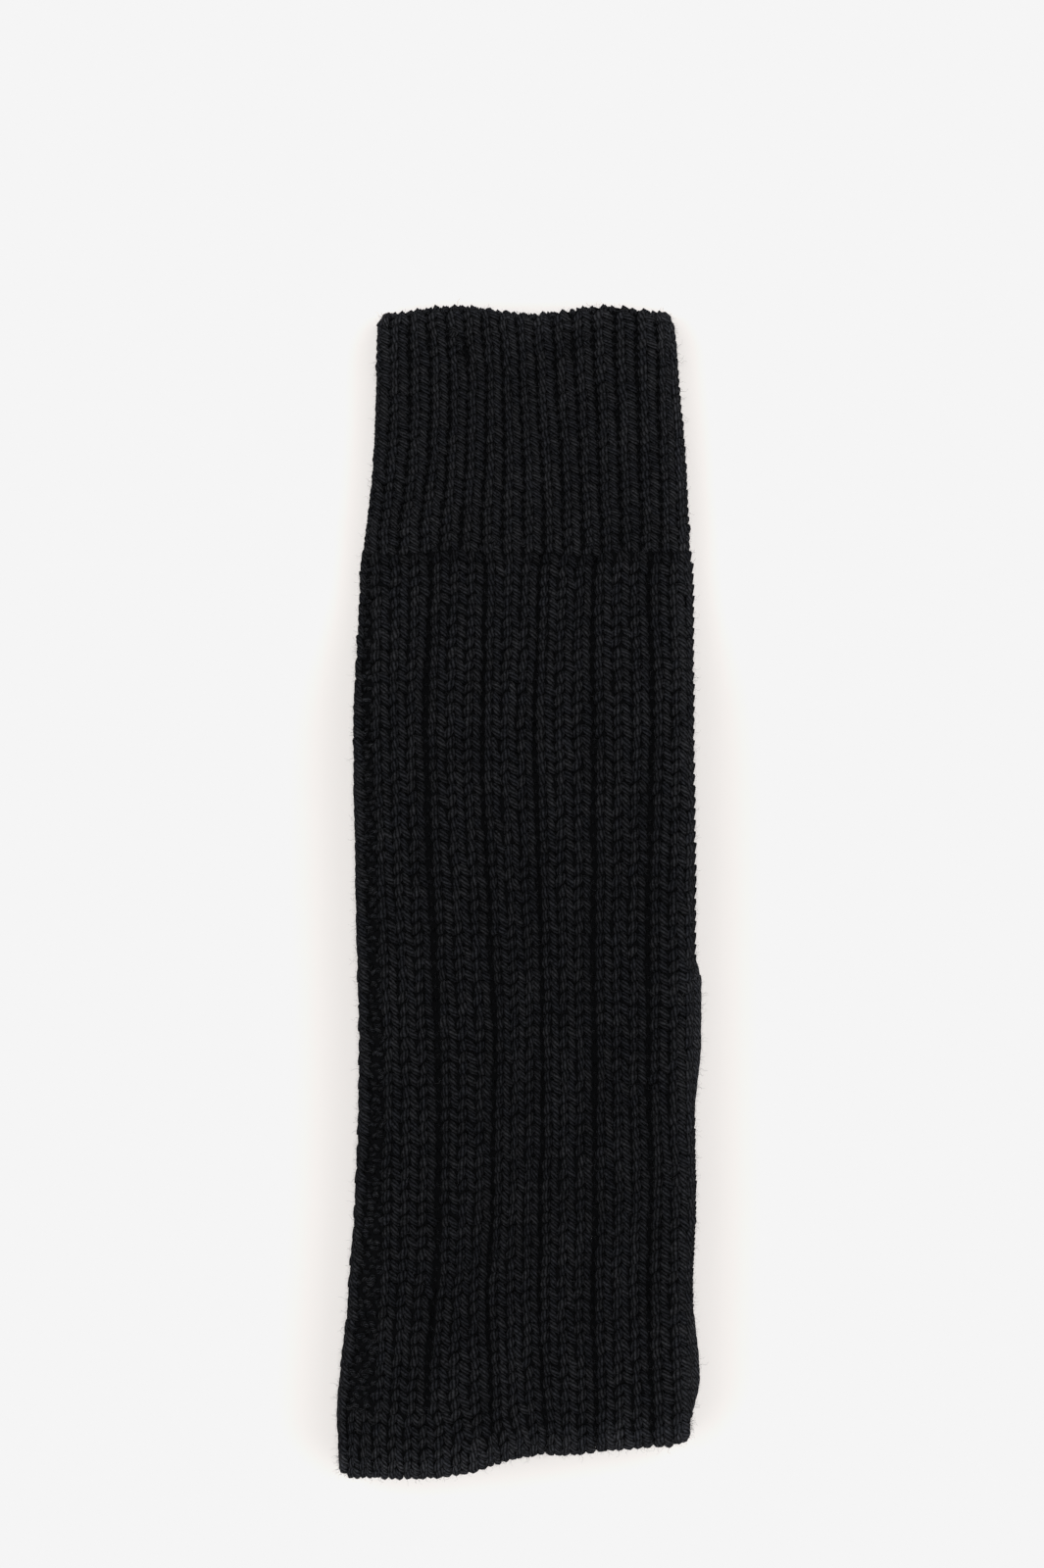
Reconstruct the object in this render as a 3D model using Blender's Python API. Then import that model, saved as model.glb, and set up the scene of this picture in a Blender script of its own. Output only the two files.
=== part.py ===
"""A pair of ribbed wool socks, laid flat one on the other, each with its foot folded up behind its leg.

Every sock is one flattened knitted tube: an open cuff in 1x1 rib, a leg in 3x1 rib, a fold round the
ankle and the heel, and the foot that lies under the leg as far as its closed toe.
Sizes are in millimetres until the mesh is made. The cuff points along +Y and the socks lie on z = 0.
"""

import math
from collections import namedtuple

import bmesh
import bpy
import numpy as np

MM = 0.001

# Driving sizes
TOTAL_LENGTH = 324.5  # cuff's edge to the heel end of the ankle fold
FOOT_LENGTH = 223.0  # middle of the ankle fold to the toe, along the hidden foot
CUFF_DEPTH = 68.0
WALL = 3.0  # knitted cloth, through a rib
SLIT = 0.5  # left between the two walls of the flattened leg
GAP = 0.32  # between layers that lie on each other
END_WIDTH = 5.0  # width over which a tube's edge rounds away
RIB_DEPTH = 1.3
CUFF_RIB_DEPTH = 1.2

HALF = WALL + SLIT / 2  # half the thickness of a flattened tube
LAYER = 2 * HALF + GAP  # one tube and its gap to the next
FOLD_RADIUS = 2 * HALF + GAP / 2
TOP = TOTAL_LENGTH / 2
LEG_RUN = TOTAL_LENGTH - FOLD_RADIUS  # cuff's edge to the middle of the fold
RIBS_AROUND = 12

# The leg seen from above: the distance down from the cuff's edge, the outline's two sides, and the six
# grooves of the upper face, all across from the middle line.
LegRow = namedtuple("LegRow", "down left right g1 g2 g3 g4 g5 g6")
LEG = [
    LegRow(0.0, -39.9, 40.2, -39.9, -27.6, -11.9, 2.2, 18.8, 35.8),
    LegRow(3.0, -41.4, 41.8, -41.4, -27.2, -11.6, 2.5, 18.9, 36.6),
    LegRow(20.0, -41.8, 43.2, -41.8, -26.0, -10.5, 3.5, 19.4, 37.3),
    LegRow(42.7, -42.7, 45.0, -42.7, -26.7, -10.8, 4.6, 20.6, 38.0),
    LegRow(67.0, -45.3, 46.3, -45.3, -28.8, -12.3, 5.4, 21.7, 38.2),
    LegRow(69.0, -45.5, 46.4, -44.4, -25.6, -11.2, 4.5, 19.7, 34.9),
    LegRow(77.8, -46.0, 46.8, -44.1, -26.1, -11.1, 4.1, 19.4, 34.7),
    LegRow(118.3, -47.3, 46.8, -44.3, -27.5, -11.6, 3.0, 18.9, 35.1),
    LegRow(158.8, -46.7, 47.0, -43.6, -25.7, -10.0, 3.8, 18.9, 34.3),
    LegRow(212.8, -45.9, 46.6, -41.9, -23.8, -8.4, 5.1, 19.4, 34.0),
    LegRow(253.3, -47.3, 47.1, -43.0, -23.9, -8.9, 4.6, 19.2, 34.8),
    LegRow(280.3, -49.4, 46.4, -44.4, -25.4, -10.0, 3.8, 18.9, 34.3),
    LegRow(307.0, -51.6, 46.4, -46.4, -27.0, -9.2, 5.1, 19.7, 35.1),
    LegRow(318.0, -51.3, 45.8, -46.6, -27.0, -8.6, 5.8, 19.9, 35.3),
]

# Where each groove ends in plain knit at the heel, from the left edge round the sock, as distance down.
# The others run on over the ankle fold.
HEEL_GROOVE_ENDS = {0: 303.0, 1: 305.0, 2: 315.0, 9: 315.0, 10: 305.0, 11: 303.0}

# The foot under the leg: the distance up from the middle of the fold, and the outline's two sides. It
# shows past the leg beside the heel, at the ankle's front and a third of the way up.
FootRow = namedtuple("FootRow", "up left right")
FOOT = [
    FootRow(0.0, -51.4, 46.2),
    FootRow(11.0, -52.0, 48.6),
    FootRow(23.0, -51.0, 47.6),
    FootRow(38.0, -48.6, 46.0),
    FootRow(90.0, -45.6, 47.0),
    FootRow(112.0, -44.8, 48.9),
    FootRow(128.0, -44.8, 49.1),
    FootRow(141.0, -44.8, 46.4),
    FootRow(170.0, -43.6, 45.2),
    FootRow(FOOT_LENGTH, -42.4, 44.0),
]
TOE_START = 165.0
TOE_END_SHARE = 0.32  # width of the closed toe's end, as a share of the foot's
TOE_ROUNDNESS = 2.4
EDGE_WAVE = 1.1  # the cuff's edge is two low waves, with a dip between them
EDGE_WAVE_LENGTH = 42.0
EDGE_WAVE_DIP_AT = 1.5
EDGE_WAVE_REACH = 60.0  # how far down the waves are felt
LIP_LENGTH = 3.0  # the cuff's lip, which thins towards its edge
LIP_THINNING = 0.8
LIP_RIB_SHARE = 0.45  # depth of the ribs at the edge, as a share of that below the lip
HEEL_REACH = 6.0  # the heel lies this much lower on the fold than the ankle's front
HEEL_SIDE, FRONT_SIDE = -24.0, 4.0  # across, where the fold leaves the heel and reaches the front
FRONT_SLOPE = 0.08
LEG_SLANT_START = 180.0  # down the leg, where it starts to follow the slanting fold
FOOT_SLANT_END = 120.0  # up the foot, where it no longer does
SLIT_MARGIN = 4.0  # from the outline's sides to the slit
SLIT_MOUTH = 0.5  # how much further each wall stands off at the cuff's edge
SLIT_MOUTH_LENGTH = 10.0
SLIT_END_WIDTH = 1.5

# A sock's place: its level in the pair, and how far it lies from the upper one's outline.
Sock = namedtuple("Sock", "name level across along rib_points")

# Points of one rib, from groove to groove: their share of its width and how deep they lie, in the leg
# and, with three narrow ribs to a wide one, in the cuff.
RibPoint = namedtuple("RibPoint", "leg_at leg_deep cuff_at cuff_deep")
FINE_RIB = [
    RibPoint(0.00, 1, 0.000, 1),
    RibPoint(0.08, 0, 0.080, 0),
    RibPoint(0.20, 0, 0.253, 0),
    RibPoint(0.32, 0, 0.333, 1),
    RibPoint(0.44, 0, 0.413, 0),
    RibPoint(0.56, 0, 0.587, 0),
    RibPoint(0.68, 0, 0.667, 1),
    RibPoint(0.80, 0, 0.747, 0),
    RibPoint(0.92, 0, 0.920, 0),
]
PLAIN_RIB = [
    RibPoint(0.00, 1, 0.000, 1),
    RibPoint(0.10, 0, 0.167, 0),
    RibPoint(0.30, 0, 0.333, 1),
    RibPoint(0.50, 0, 0.500, 0),
    RibPoint(0.70, 0, 0.667, 1),
    RibPoint(0.90, 0, 0.833, 0),
]

# The lower half of the leg drops past the toe, where nothing lies under it any more.
DROP_START, DROP_END = 42.0, 88.0

LEG_STATIONS = [0, 1.2, 3, 10, 36, 62, 67, 69.5, 78, 86, 94, 102, 110, 120, 150, 190, 213, 253, 280, 299, 308]
FOLD_TURNS = np.radians([0, 26, 52, 78, 102, 128, 154, 180])
FOOT_STATIONS = [8, 14, 24, 38, 70, 98, 112, 120, 128, 136, 144, 170, 188, 197, 205, 212, 217, 221, FOOT_LENGTH]
SLIT_STATIONS = [0.4, 3, 10, 36, 66, 78, 86, 94, 102, 110, 120, 160, 213, 253, 285]
FOOT_RING = 28  # points round a section
SLIT_RING = 20
ARC_STEPS = 24
SOCK_COLOUR = (0.0075, 0.0078, 0.0092, 1.0)
LOWER_COLOUR = (0.0085, 0.0087, 0.0100, 1.0)


def smooth(low, high, value):
    """0 below low, 1 above high, and an even ramp between."""
    share = np.clip((np.asarray(value, float) - low) / (high - low), 0.0, 1.0)
    return share * share * (3.0 - 2.0 * share)


def curve(rows, column, at):
    """A smooth curve through one column of a table, whose first column says where each row lies.

    It never passes the values on either side.
    """
    stops = np.array([row[0] for row in rows], float)
    values = np.array([getattr(row, column) for row in rows], float)
    rises = np.diff(values) / np.diff(stops)
    turning = rises[:-1] * rises[1:] <= 0
    sums = np.where(turning, 1.0, rises[:-1] + rises[1:])
    between = np.where(turning, 0.0, 2 * rises[:-1] * rises[1:] / sums)
    slopes = np.concatenate([rises[:1], between, rises[-1:]])
    i = np.clip(np.searchsorted(stops, at) - 1, 0, len(stops) - 2)
    span = stops[i + 1] - stops[i]
    u = np.clip((at - stops[i]) / span, 0.0, 1.0)
    start = (1 + 2 * u) * (1 - u) ** 2 * values[i] + u * (1 - u) ** 2 * span * slopes[i]
    end = u * u * (3 - 2 * u) * values[i + 1] - u * u * (1 - u) * span * slopes[i + 1]
    return start + end


def cuff_edge_dip(across):
    """How far the cuff's edge lies below its highest point."""
    turn = 2 * math.pi * (across - EDGE_WAVE_DIP_AT) / EDGE_WAVE_LENGTH
    return EDGE_WAVE * (1 + np.cos(turn))


def fold_rise(across):
    """How far the ankle fold lies above its lowest point, the heel."""
    front = FRONT_SLOPE * np.maximum(across - FRONT_SIDE, 0.0)
    return HEEL_REACH * smooth(HEEL_SIDE, FRONT_SIDE, across) + front


def drop_share(y):
    """1 where a foot lies under the leg, 0 past the toe."""
    return 1.0 - smooth(DROP_START, DROP_END, y)


def support(level, y):
    """Height of what a sock lies on: the surface, or the sock below it."""
    return level * LAYER * (1.0 + drop_share(y))


def foot_half(y):
    """Half the thickness of the foot, which fills the room under the leg."""
    return (drop_share(y) * LAYER - GAP) / 2


def place_leg(sock, across, out, down):
    """Points of the leg. out is the height over the tube's own middle."""
    y = TOP - down - cuff_edge_dip(across) * (1.0 - smooth(0.0, EDGE_WAVE_REACH, down))
    y = y + fold_rise(across) * smooth(LEG_SLANT_START, LEG_RUN, down) + sock.along
    z = support(sock.level, y) + HALF + drop_share(y) * LAYER + out
    return np.column_stack([across + sock.across, y, z])


def place_fold(sock, across, out, turn):
    """Points round the ankle fold. turn is 0 on the leg's side and pi on the foot's."""
    middle_y = TOP - LEG_RUN + fold_rise(across) + sock.along
    middle_z = support(sock.level, middle_y) + 2 * HALF + GAP / 2
    radius = HALF + GAP / 2 + out
    y = middle_y - radius * math.sin(turn)
    return np.column_stack([across + sock.across, y, middle_z + radius * math.cos(turn)])


def place_foot(sock, across, out, up):
    """Points of the foot, which lies upside down under the leg."""
    y = TOP - LEG_RUN + up + fold_rise(across) * (1.0 - smooth(0.0, FOOT_SLANT_END, up)) + sock.along
    half = foot_half(y)
    return np.column_stack([across + sock.across, y, support(sock.level, y) + half - out * half / HALF])


def tube_outline(left, right, half, end):
    """Dense closed section of a flattened tube, as (across, out), from its left edge over the top."""
    rising = np.linspace(math.pi, math.pi / 2, ARC_STEPS)
    falling = np.linspace(math.pi / 2, -math.pi / 2, 2 * ARC_STEPS)
    returning = np.linspace(-math.pi / 2, -math.pi, ARC_STEPS)
    parts = [(left + end, rising), (right - end, falling), (left + end, returning)]
    return np.concatenate([np.column_stack([x + end * np.cos(a), half * np.sin(a)]) for x, a in parts])


def lengths(outline):
    """Distance along the outline to each of its points."""
    return np.concatenate([[0.0], np.cumsum(np.linalg.norm(np.diff(outline, axis=0), axis=1))])


def at_lengths(outline, wanted):
    """Points of the outline at these distances along it, and the directions out of the tube there."""
    along = lengths(outline)
    wanted = np.mod(wanted, along[-1])
    points = np.column_stack([np.interp(wanted, along, outline[:, i]) for i in (0, 1)])
    slopes = np.gradient(outline, along + np.arange(len(along)) * 1e-9, axis=0)
    tangent = np.column_stack([np.interp(wanted, along, slopes[:, i]) for i in (0, 1)])
    normal = np.column_stack([-tangent[:, 1], tangent[:, 0]])
    return points, normal / np.linalg.norm(normal, axis=1)[:, None]


def groove_lengths(outline, grooves):
    """Where the twelve grooves lie: six as given on the upper face, the rest evenly round the back."""
    along = lengths(outline)
    upper = slice(0, 2 * ARC_STEPS)
    first = np.interp(grooves, outline[upper, 0], along[upper])
    rest = np.linspace(first[-1], first[0] + along[-1], RIBS_AROUND - len(first) + 2)
    return np.concatenate([first, rest[1:]])


def ribbed_ring(sock, down, half=HALF, turn=0.0):
    """One section of the cuff or leg, with its ribs raised, but for a face that rests on the surface."""
    table_down = min(down, LEG[-1].down)
    left, right = (float(curve(LEG, side, table_down)) for side in ("left", "right"))
    grooves = [max(float(curve(LEG, f"g{i}", table_down)), left) for i in range(1, 7)]
    outline = tube_outline(left, right, half, END_WIDTH)
    edges = groove_lengths(outline, grooves)
    in_cuff = 1.0 - float(smooth(CUFF_DEPTH - 2, CUFF_DEPTH + 2, down))
    at_lip = LIP_RIB_SHARE + (1.0 - LIP_RIB_SHARE) * float(smooth(0, LIP_LENGTH, down))
    fold_end = 1.0 - float(smooth(math.pi * 0.7, math.pi, turn))
    wanted, deep = [], []
    for rib in range(RIBS_AROUND):
        plain_from = HEEL_GROOVE_ENDS.get(rib, TOTAL_LENGTH)
        ribbed = 1.0 - float(smooth(plain_from - 3, plain_from + 3, down))
        for point in sock.rib_points:
            share = point.leg_at + (point.cuff_at - point.leg_at) * in_cuff
            wanted.append(edges[rib] + share * (edges[rib + 1] - edges[rib]))
            leg_deep = point.leg_deep * RIB_DEPTH * ribbed
            mixed = leg_deep + (point.cuff_deep * CUFF_RIB_DEPTH - leg_deep) * in_cuff
            deep.append(mixed * at_lip * fold_end)
    points, normals = at_lengths(outline, np.array(wanted))
    deep = np.array(deep)
    if sock.level == 0:
        deep = deep * smooth(-0.7 * HALF, -0.2 * HALF, points[:, 1])
    points = points - normals * deep[:, None]
    return points, np.array(wanted) / lengths(outline)[-1]


def plain_ring(left, right, half, end, count):
    """A section with no ribs: half of its points are on the rounded edges, half on the flats."""
    edge = np.linspace(math.pi, -math.pi, count, endpoint=False)
    across = np.where(np.cos(edge) < 0, left + end, right - end) + end * np.cos(edge)
    outline = tube_outline(left, right, half, end)
    points = np.column_stack([across, half * np.sin(edge)])
    along = lengths(outline)
    near = np.argmin(np.linalg.norm(points[:, None, :] - outline[None, :, :], axis=2), axis=1)
    return points, along[near] / along[-1]


def foot_ring(up):
    """One section of the foot, narrowed towards the toe's rounded end."""
    left, right = (float(curve(FOOT, side, up)) for side in ("left", "right"))
    share = max(0.0, (up - TOE_START) / (FOOT_LENGTH - TOE_START))
    width = TOE_END_SHARE + (1 - TOE_END_SHARE) * math.sqrt(max(0.0, 1.0 - share**TOE_ROUNDNESS))
    middle = (left + right) / 2
    left, right = middle + (left - middle) * width, middle + (right - middle) * width
    return plain_ring(left, right, HALF, END_WIDTH, FOOT_RING)


def slit_ring(down):
    """The slit between the leg's walls, a little open at the mouth and closed at the ankle."""
    left, right = (float(curve(LEG, side, down)) for side in ("left", "right"))
    half = SLIT / 2 + SLIT_MOUTH * (1.0 - float(smooth(0, SLIT_MOUTH_LENGTH, down)))
    return plain_ring(left + SLIT_MARGIN, right - SLIT_MARGIN, half, SLIT_END_WIDTH, SLIT_RING)


def add_ring(mesh, points):
    return [mesh.verts.new(point * MM) for point in points]


def bridge(mesh, ring_a, shares_a, ring_b, shares_b):
    """Joins two closed rings with triangles, each step going to the ring whose next point comes first."""
    offsets = np.mod(shares_b - shares_a[0] + 0.5, 1.0) - 0.5
    first_b = int(np.argmin(np.abs(offsets)))
    order_b = ring_b[first_b:] + ring_b[:first_b]
    turned_b = np.roll(shares_b, -first_b)
    next_a = np.append(np.mod(shares_a[1:] - shares_a[0], 1.0), 1.0)
    next_b = np.append(np.mod(turned_b[1:] - turned_b[0], 1.0), 1.0) + offsets[first_b]
    i = j = 0
    while i < len(ring_a) or j < len(ring_b):
        a, b = ring_a[i % len(ring_a)], order_b[j % len(ring_b)]
        if j == len(ring_b) or (i < len(ring_a) and next_a[i] <= next_b[j]):
            mesh.faces.new([a, ring_a[(i + 1) % len(ring_a)], b])
            i += 1
        else:
            mesh.faces.new([a, order_b[(j + 1) % len(ring_b)], b])
            j += 1


def close_ring(mesh, ring):
    """Fills a ring with a fan from its middle."""
    middle = mesh.verts.new(sum((v.co for v in ring), ring[0].co * 0) / len(ring))
    for i, corner in enumerate(ring):
        mesh.faces.new([corner, ring[(i + 1) % len(ring)], middle])


def sock_rings(sock):
    """Every section of the sock from the cuff's lip to the toe, as world points and perimeter shares."""
    rings = []
    for down in LEG_STATIONS:
        half = HALF - LIP_THINNING * (1.0 - float(smooth(0, LIP_LENGTH, down)))
        points, shares = ribbed_ring(sock, down, half)
        rings.append((place_leg(sock, points[:, 0], points[:, 1], down), shares))
    for turn in FOLD_TURNS:
        points, shares = ribbed_ring(sock, LEG_RUN, turn=turn)
        rings.append((place_fold(sock, points[:, 0], points[:, 1], turn), shares))
    for up in FOOT_STATIONS:
        points, shares = foot_ring(up)
        rings.append((place_foot(sock, points[:, 0], points[:, 1], up), shares))
    return rings


def slit_rings(sock):
    rings = []
    for down in SLIT_STATIONS:
        points, shares = slit_ring(down)
        rings.append((place_leg(sock, points[:, 0], points[:, 1], down), shares))
    return rings


def wool(name, colour):
    material = bpy.data.materials.new(name)
    material.use_nodes = True
    shader = material.node_tree.nodes["Principled BSDF"]
    shader.inputs["Base Color"].default_value = colour
    shader.inputs["Roughness"].default_value = 0.95
    shader.inputs["Metallic"].default_value = 0.0
    material.diffuse_color = colour
    return material


def make_sock(sock, centre, material, collection):
    """One closed solid: the outer skin, the toe, the lip and the slit inside the leg."""
    mesh = bmesh.new()
    outer = [(add_ring(mesh, points - centre), shares) for points, shares in sock_rings(sock)]
    inner = [(add_ring(mesh, points - centre), shares) for points, shares in slit_rings(sock)]
    for skin in (outer, inner):
        for first, second in zip(skin, skin[1:]):
            bridge(mesh, *first, *second)
        close_ring(mesh, skin[-1][0])
    bridge(mesh, *outer[0], *inner[0])
    bmesh.ops.recalc_face_normals(mesh, faces=mesh.faces)
    data = bpy.data.meshes.new(sock.name)
    mesh.to_mesh(data)
    mesh.free()
    data.materials.append(material)
    data.shade_smooth()
    data.set_sharp_from_angle(angle=math.radians(50))
    made = bpy.data.objects.new(sock.name, data)
    collection.objects.link(made)


def middle_of(socks):
    """The point under the middle of the pair's outline, which becomes the origin."""
    points = np.concatenate([points for sock in socks for points, _ in sock_rings(sock)])
    low, high = points.min(axis=0), points.max(axis=0)
    return np.array([(low[0] + high[0]) / 2, (low[1] + high[1]) / 2, low[2]])


def main():
    for old in list(bpy.data.objects):
        bpy.data.objects.remove(old)
    collection = bpy.data.collections.new("pair_of_socks")
    bpy.context.scene.collection.children.link(collection)
    upper = Sock("upper_sock", 1, 0.0, 0.0, FINE_RIB)
    lower = Sock("lower_sock", 0, 0.5, 0.3, PLAIN_RIB)
    centre = middle_of([upper, lower])
    make_sock(upper, centre, wool("black_wool", SOCK_COLOUR), collection)
    make_sock(lower, centre, wool("black_wool_lower", LOWER_COLOUR), collection)


main()
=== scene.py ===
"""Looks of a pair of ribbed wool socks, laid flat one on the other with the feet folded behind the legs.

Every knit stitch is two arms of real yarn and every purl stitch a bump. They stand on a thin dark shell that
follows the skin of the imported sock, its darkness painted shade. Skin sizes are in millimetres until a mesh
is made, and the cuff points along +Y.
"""

import math
from collections import namedtuple

import bpy
import numpy as np
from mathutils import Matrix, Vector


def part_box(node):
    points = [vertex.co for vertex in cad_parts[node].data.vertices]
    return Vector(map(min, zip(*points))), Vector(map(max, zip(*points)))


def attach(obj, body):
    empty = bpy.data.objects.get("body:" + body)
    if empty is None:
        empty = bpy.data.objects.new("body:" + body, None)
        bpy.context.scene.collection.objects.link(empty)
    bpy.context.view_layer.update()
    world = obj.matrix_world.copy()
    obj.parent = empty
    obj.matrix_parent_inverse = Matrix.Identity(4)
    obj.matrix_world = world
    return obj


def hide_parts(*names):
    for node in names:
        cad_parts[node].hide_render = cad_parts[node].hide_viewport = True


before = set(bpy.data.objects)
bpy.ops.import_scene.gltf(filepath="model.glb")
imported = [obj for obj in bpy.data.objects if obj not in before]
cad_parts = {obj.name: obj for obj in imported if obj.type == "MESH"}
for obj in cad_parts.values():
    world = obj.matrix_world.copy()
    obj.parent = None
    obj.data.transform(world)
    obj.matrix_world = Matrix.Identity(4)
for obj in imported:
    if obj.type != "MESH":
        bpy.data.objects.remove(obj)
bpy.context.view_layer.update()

MM = 0.001

# Driving sizes of the socks, as in their solids
TOTAL_LENGTH = 324.5  # cuff's edge to the heel end of the ankle fold
FOOT_LENGTH = 223.0  # middle of the fold to the toe
CUFF_DEPTH = 68.0
WALL = 3.0
SLIT = 0.5  # between the two walls of the leg
GAP = 0.32  # between layers that lie on each other
END_WIDTH = 5.0  # width over which a tube's edge rounds away
HALF = WALL + SLIT / 2
LAYER = 2 * HALF + GAP
FOLD_RADIUS = 2 * HALF + GAP / 2
TOP = TOTAL_LENGTH / 2
LEG_RUN = TOTAL_LENGTH - FOLD_RADIUS
FOLD_RUN = math.pi * FOLD_RADIUS
TOE_RUN = LEG_RUN + FOLD_RUN + FOOT_LENGTH
RIBS_AROUND = 12
KNIT_WALES = 3  # of a rib of the leg, which becomes as many narrow ribs in the cuff
DROP_START, DROP_END = 42.0, 88.0  # y, between which the leg drops past the toe
TOE_START = 165.0
TOE_END_SHARE = 0.32
TOE_ROUNDNESS = 2.4
EDGE_WAVE = 1.1  # the cuff's edge is two low waves, with a dip between them
EDGE_WAVE_LENGTH = 42.0
EDGE_WAVE_DIP_AT = 1.5
EDGE_WAVE_REACH = 60.0
LIP_LENGTH = 3.0  # the cuff's lip, which thins towards its edge
LIP_THINNING = 0.8
HEEL_REACH = 6.0  # the heel lies this much lower on the fold than the ankle's front
HEEL_SIDE, FRONT_SIDE = -24.0, 4.0
FRONT_SLOPE = 0.08
LEG_SLANT_START = 180.0  # down the leg, where it starts to follow the slanting fold
FOOT_SLANT_END = 120.0  # up the foot, where it no longer does
SLIT_MARGIN = 4.0
SLIT_MOUTH = 0.5
SLIT_MOUTH_LENGTH = 10.0
ARC_STEPS = 24

# The leg seen from above: distance down from the cuff's edge, the outline's two sides, and six grooves
LegRow = namedtuple("LegRow", "down left right g1 g2 g3 g4 g5 g6")
LEG = [
    LegRow(0.0, -39.9, 40.2, -39.9, -27.6, -11.9, 2.2, 18.8, 35.8),
    LegRow(3.0, -41.4, 41.8, -41.4, -27.2, -11.6, 2.5, 18.9, 36.6),
    LegRow(20.0, -41.8, 43.2, -41.8, -26.0, -10.5, 3.5, 19.4, 37.3),
    LegRow(42.7, -42.7, 45.0, -42.7, -26.7, -10.8, 4.6, 20.6, 38.0),
    LegRow(67.0, -45.3, 46.3, -45.3, -28.8, -12.3, 5.4, 21.7, 38.2),
    LegRow(69.0, -45.5, 46.4, -44.4, -25.6, -11.2, 4.5, 19.7, 34.9),
    LegRow(77.8, -46.0, 46.8, -44.1, -26.1, -11.1, 4.1, 19.4, 34.7),
    LegRow(118.3, -47.3, 46.8, -44.3, -27.5, -11.6, 3.0, 18.9, 35.1),
    LegRow(158.8, -46.7, 47.0, -43.6, -25.7, -10.0, 3.8, 18.9, 34.3),
    LegRow(212.8, -45.9, 46.6, -41.9, -23.8, -8.4, 5.1, 19.4, 34.0),
    LegRow(253.3, -47.3, 47.1, -43.0, -23.9, -8.9, 4.6, 19.2, 34.8),
    LegRow(280.3, -49.4, 46.4, -44.4, -25.4, -10.0, 3.8, 18.9, 34.3),
    LegRow(307.0, -51.6, 46.4, -46.4, -27.0, -9.2, 5.1, 19.7, 35.1),
    LegRow(318.0, -51.3, 45.8, -46.6, -27.0, -8.6, 5.8, 19.9, 35.3),
]

# The foot under the leg: distance up from the middle of the fold, and the outline's two sides
FootRow = namedtuple("FootRow", "up left right")
FOOT = [
    FootRow(0.0, -51.4, 46.2),
    FootRow(11.0, -52.0, 48.6),
    FootRow(23.0, -51.0, 47.6),
    FootRow(38.0, -48.6, 46.0),
    FootRow(90.0, -45.6, 47.0),
    FootRow(112.0, -44.8, 48.9),
    FootRow(128.0, -44.8, 49.1),
    FootRow(141.0, -44.8, 46.4),
    FootRow(170.0, -43.6, 45.2),
    FootRow(FOOT_LENGTH, -42.4, 44.0),
]

# Ribs and grooves, which are deeper than in the solids because the yarn fills part of them
RIB_DEPTH = 1.9
CUFF_RIB_DEPTH = 1.3
RIB_CHANGE = 2.0  # half the length over which the cuff's ribs turn into the leg's
LIP_RIB_SHARE = 0.2  # depth of the ribs at the edge, as a share of that below the lip
LIP_RIB_LENGTH = 5.0
SETTLED_RUN = 150.0  # down the leg, where the grooves and courses have their full size
SHOULDER = 1.3  # how far a groove reaches past its purl wale on each side
GROOVE_FLOOR = 0.15  # the flat part of a groove, as a share of its reach
CUFF_GROOVE_REACH = 0.42  # as a share of a narrow rib
FOLD_SHALLOWING = 0.55  # share of the depth that the fold pulls out, between these runs
SHALLOW_START, SHALLOW_END = LEG_RUN - 14, LEG_RUN + 0.2 * FOLD_RUN
PURL_HALVES = {1: 0.68, 2: 0.42, 3: 0.35, 4: 0.52, 5: 0.50}  # half the width of each purl wale on top
PURL_HALF = 0.50  # and of the others
PURL_START_SHARE = 0.75  # of that width, just under the cuff
FOLD_NARROWING = 0.35  # share of that width that is lost towards the fold, between these runs
NARROW_START, NARROW_END = LEG_RUN - 60.0, LEG_RUN - 10.0
PLAIN_WALES = 4  # of a rib and its groove where the groove has ended

# Where each groove ends in plain knit at the heel, from the left edge round the sock, along its run
HEEL_GROOVE_ENDS = {0: 303.0, 1: 305.0, 2: 315.0, 9: 315.0, 10: 305.0, 11: 303.0}
HEEL_BLEND = 3.0  # half the length over which a groove ends

# The groove at the left edge is pulled open, more and more towards the heel: half its width
WIDE_GROOVE = 0
WIDE_GROOVE_SHIFT = 1.1  # how far its pulling moves it on to the top
WIDE_GROOVE_DEPTH = 0.5  # as a share of the others' depth
WIDE_PURL_RUNS = (70.0, 118.0, 159.0, 213.0, 253.0, 280.0, 303.0)
WIDE_PURL_HALVES = (2.0, 2.0, 2.2, 2.4, 3.2, 3.7, 4.4)
PULLED_WALE = 1.8  # width of its crumpled bumps
PULLED_SHARE = 0.8  # of the groove's width that they take up
PULLED_THICKNESS, PULLED_THICKENING = 0.82, 0.22  # of their yarn, against 1 elsewhere
STRIP_FADE, STRIP_EVEN = 235.0, 285.0  # down the leg, between which they thicken and grow more even
UNDER_STRAY, UNDER_SHARE = 0.5, 0.85  # how far the bumps under them stray, and their share of the width
UNDER_DROP = 1.40  # how many rows lower those start, upside down

# Unevenness in waves: height of a wave, radians for each millimetre of run and for each rib, and its start
Wave = namedtuple("Wave", "height along round start")
GROOVE_WAVES = [Wave(0.6, 1 / 19, 1.7, 0.0), Wave(0.4, 1 / 7.3, 2.6, 0.0)]
COURSE_WAVES = [Wave(0.16, 0.021, 1.9, 0.0), Wave(0.12, 0.05, 4.3, 1.3)]
SHADE_WAVES = [Wave(1.0, 0.13, 5.1, 0.0), Wave(1.0, 0.31, 2.3, 0.0), Wave(1.0, 0.83, 7.7, 0.0)]
GROOVE_SHADE_WAVES = [Wave(0.35, 2.9, 11.0, 0.0)]
STRIP_SHADE_WAVES = [Wave(1.0, 2.9, 211.0, 0.0)]
STRIP_SLANT_WAVES = [Wave(0.7, 5.3, 40.0, 0.0)]  # how far the crumpled bumps turn, in radians
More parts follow.
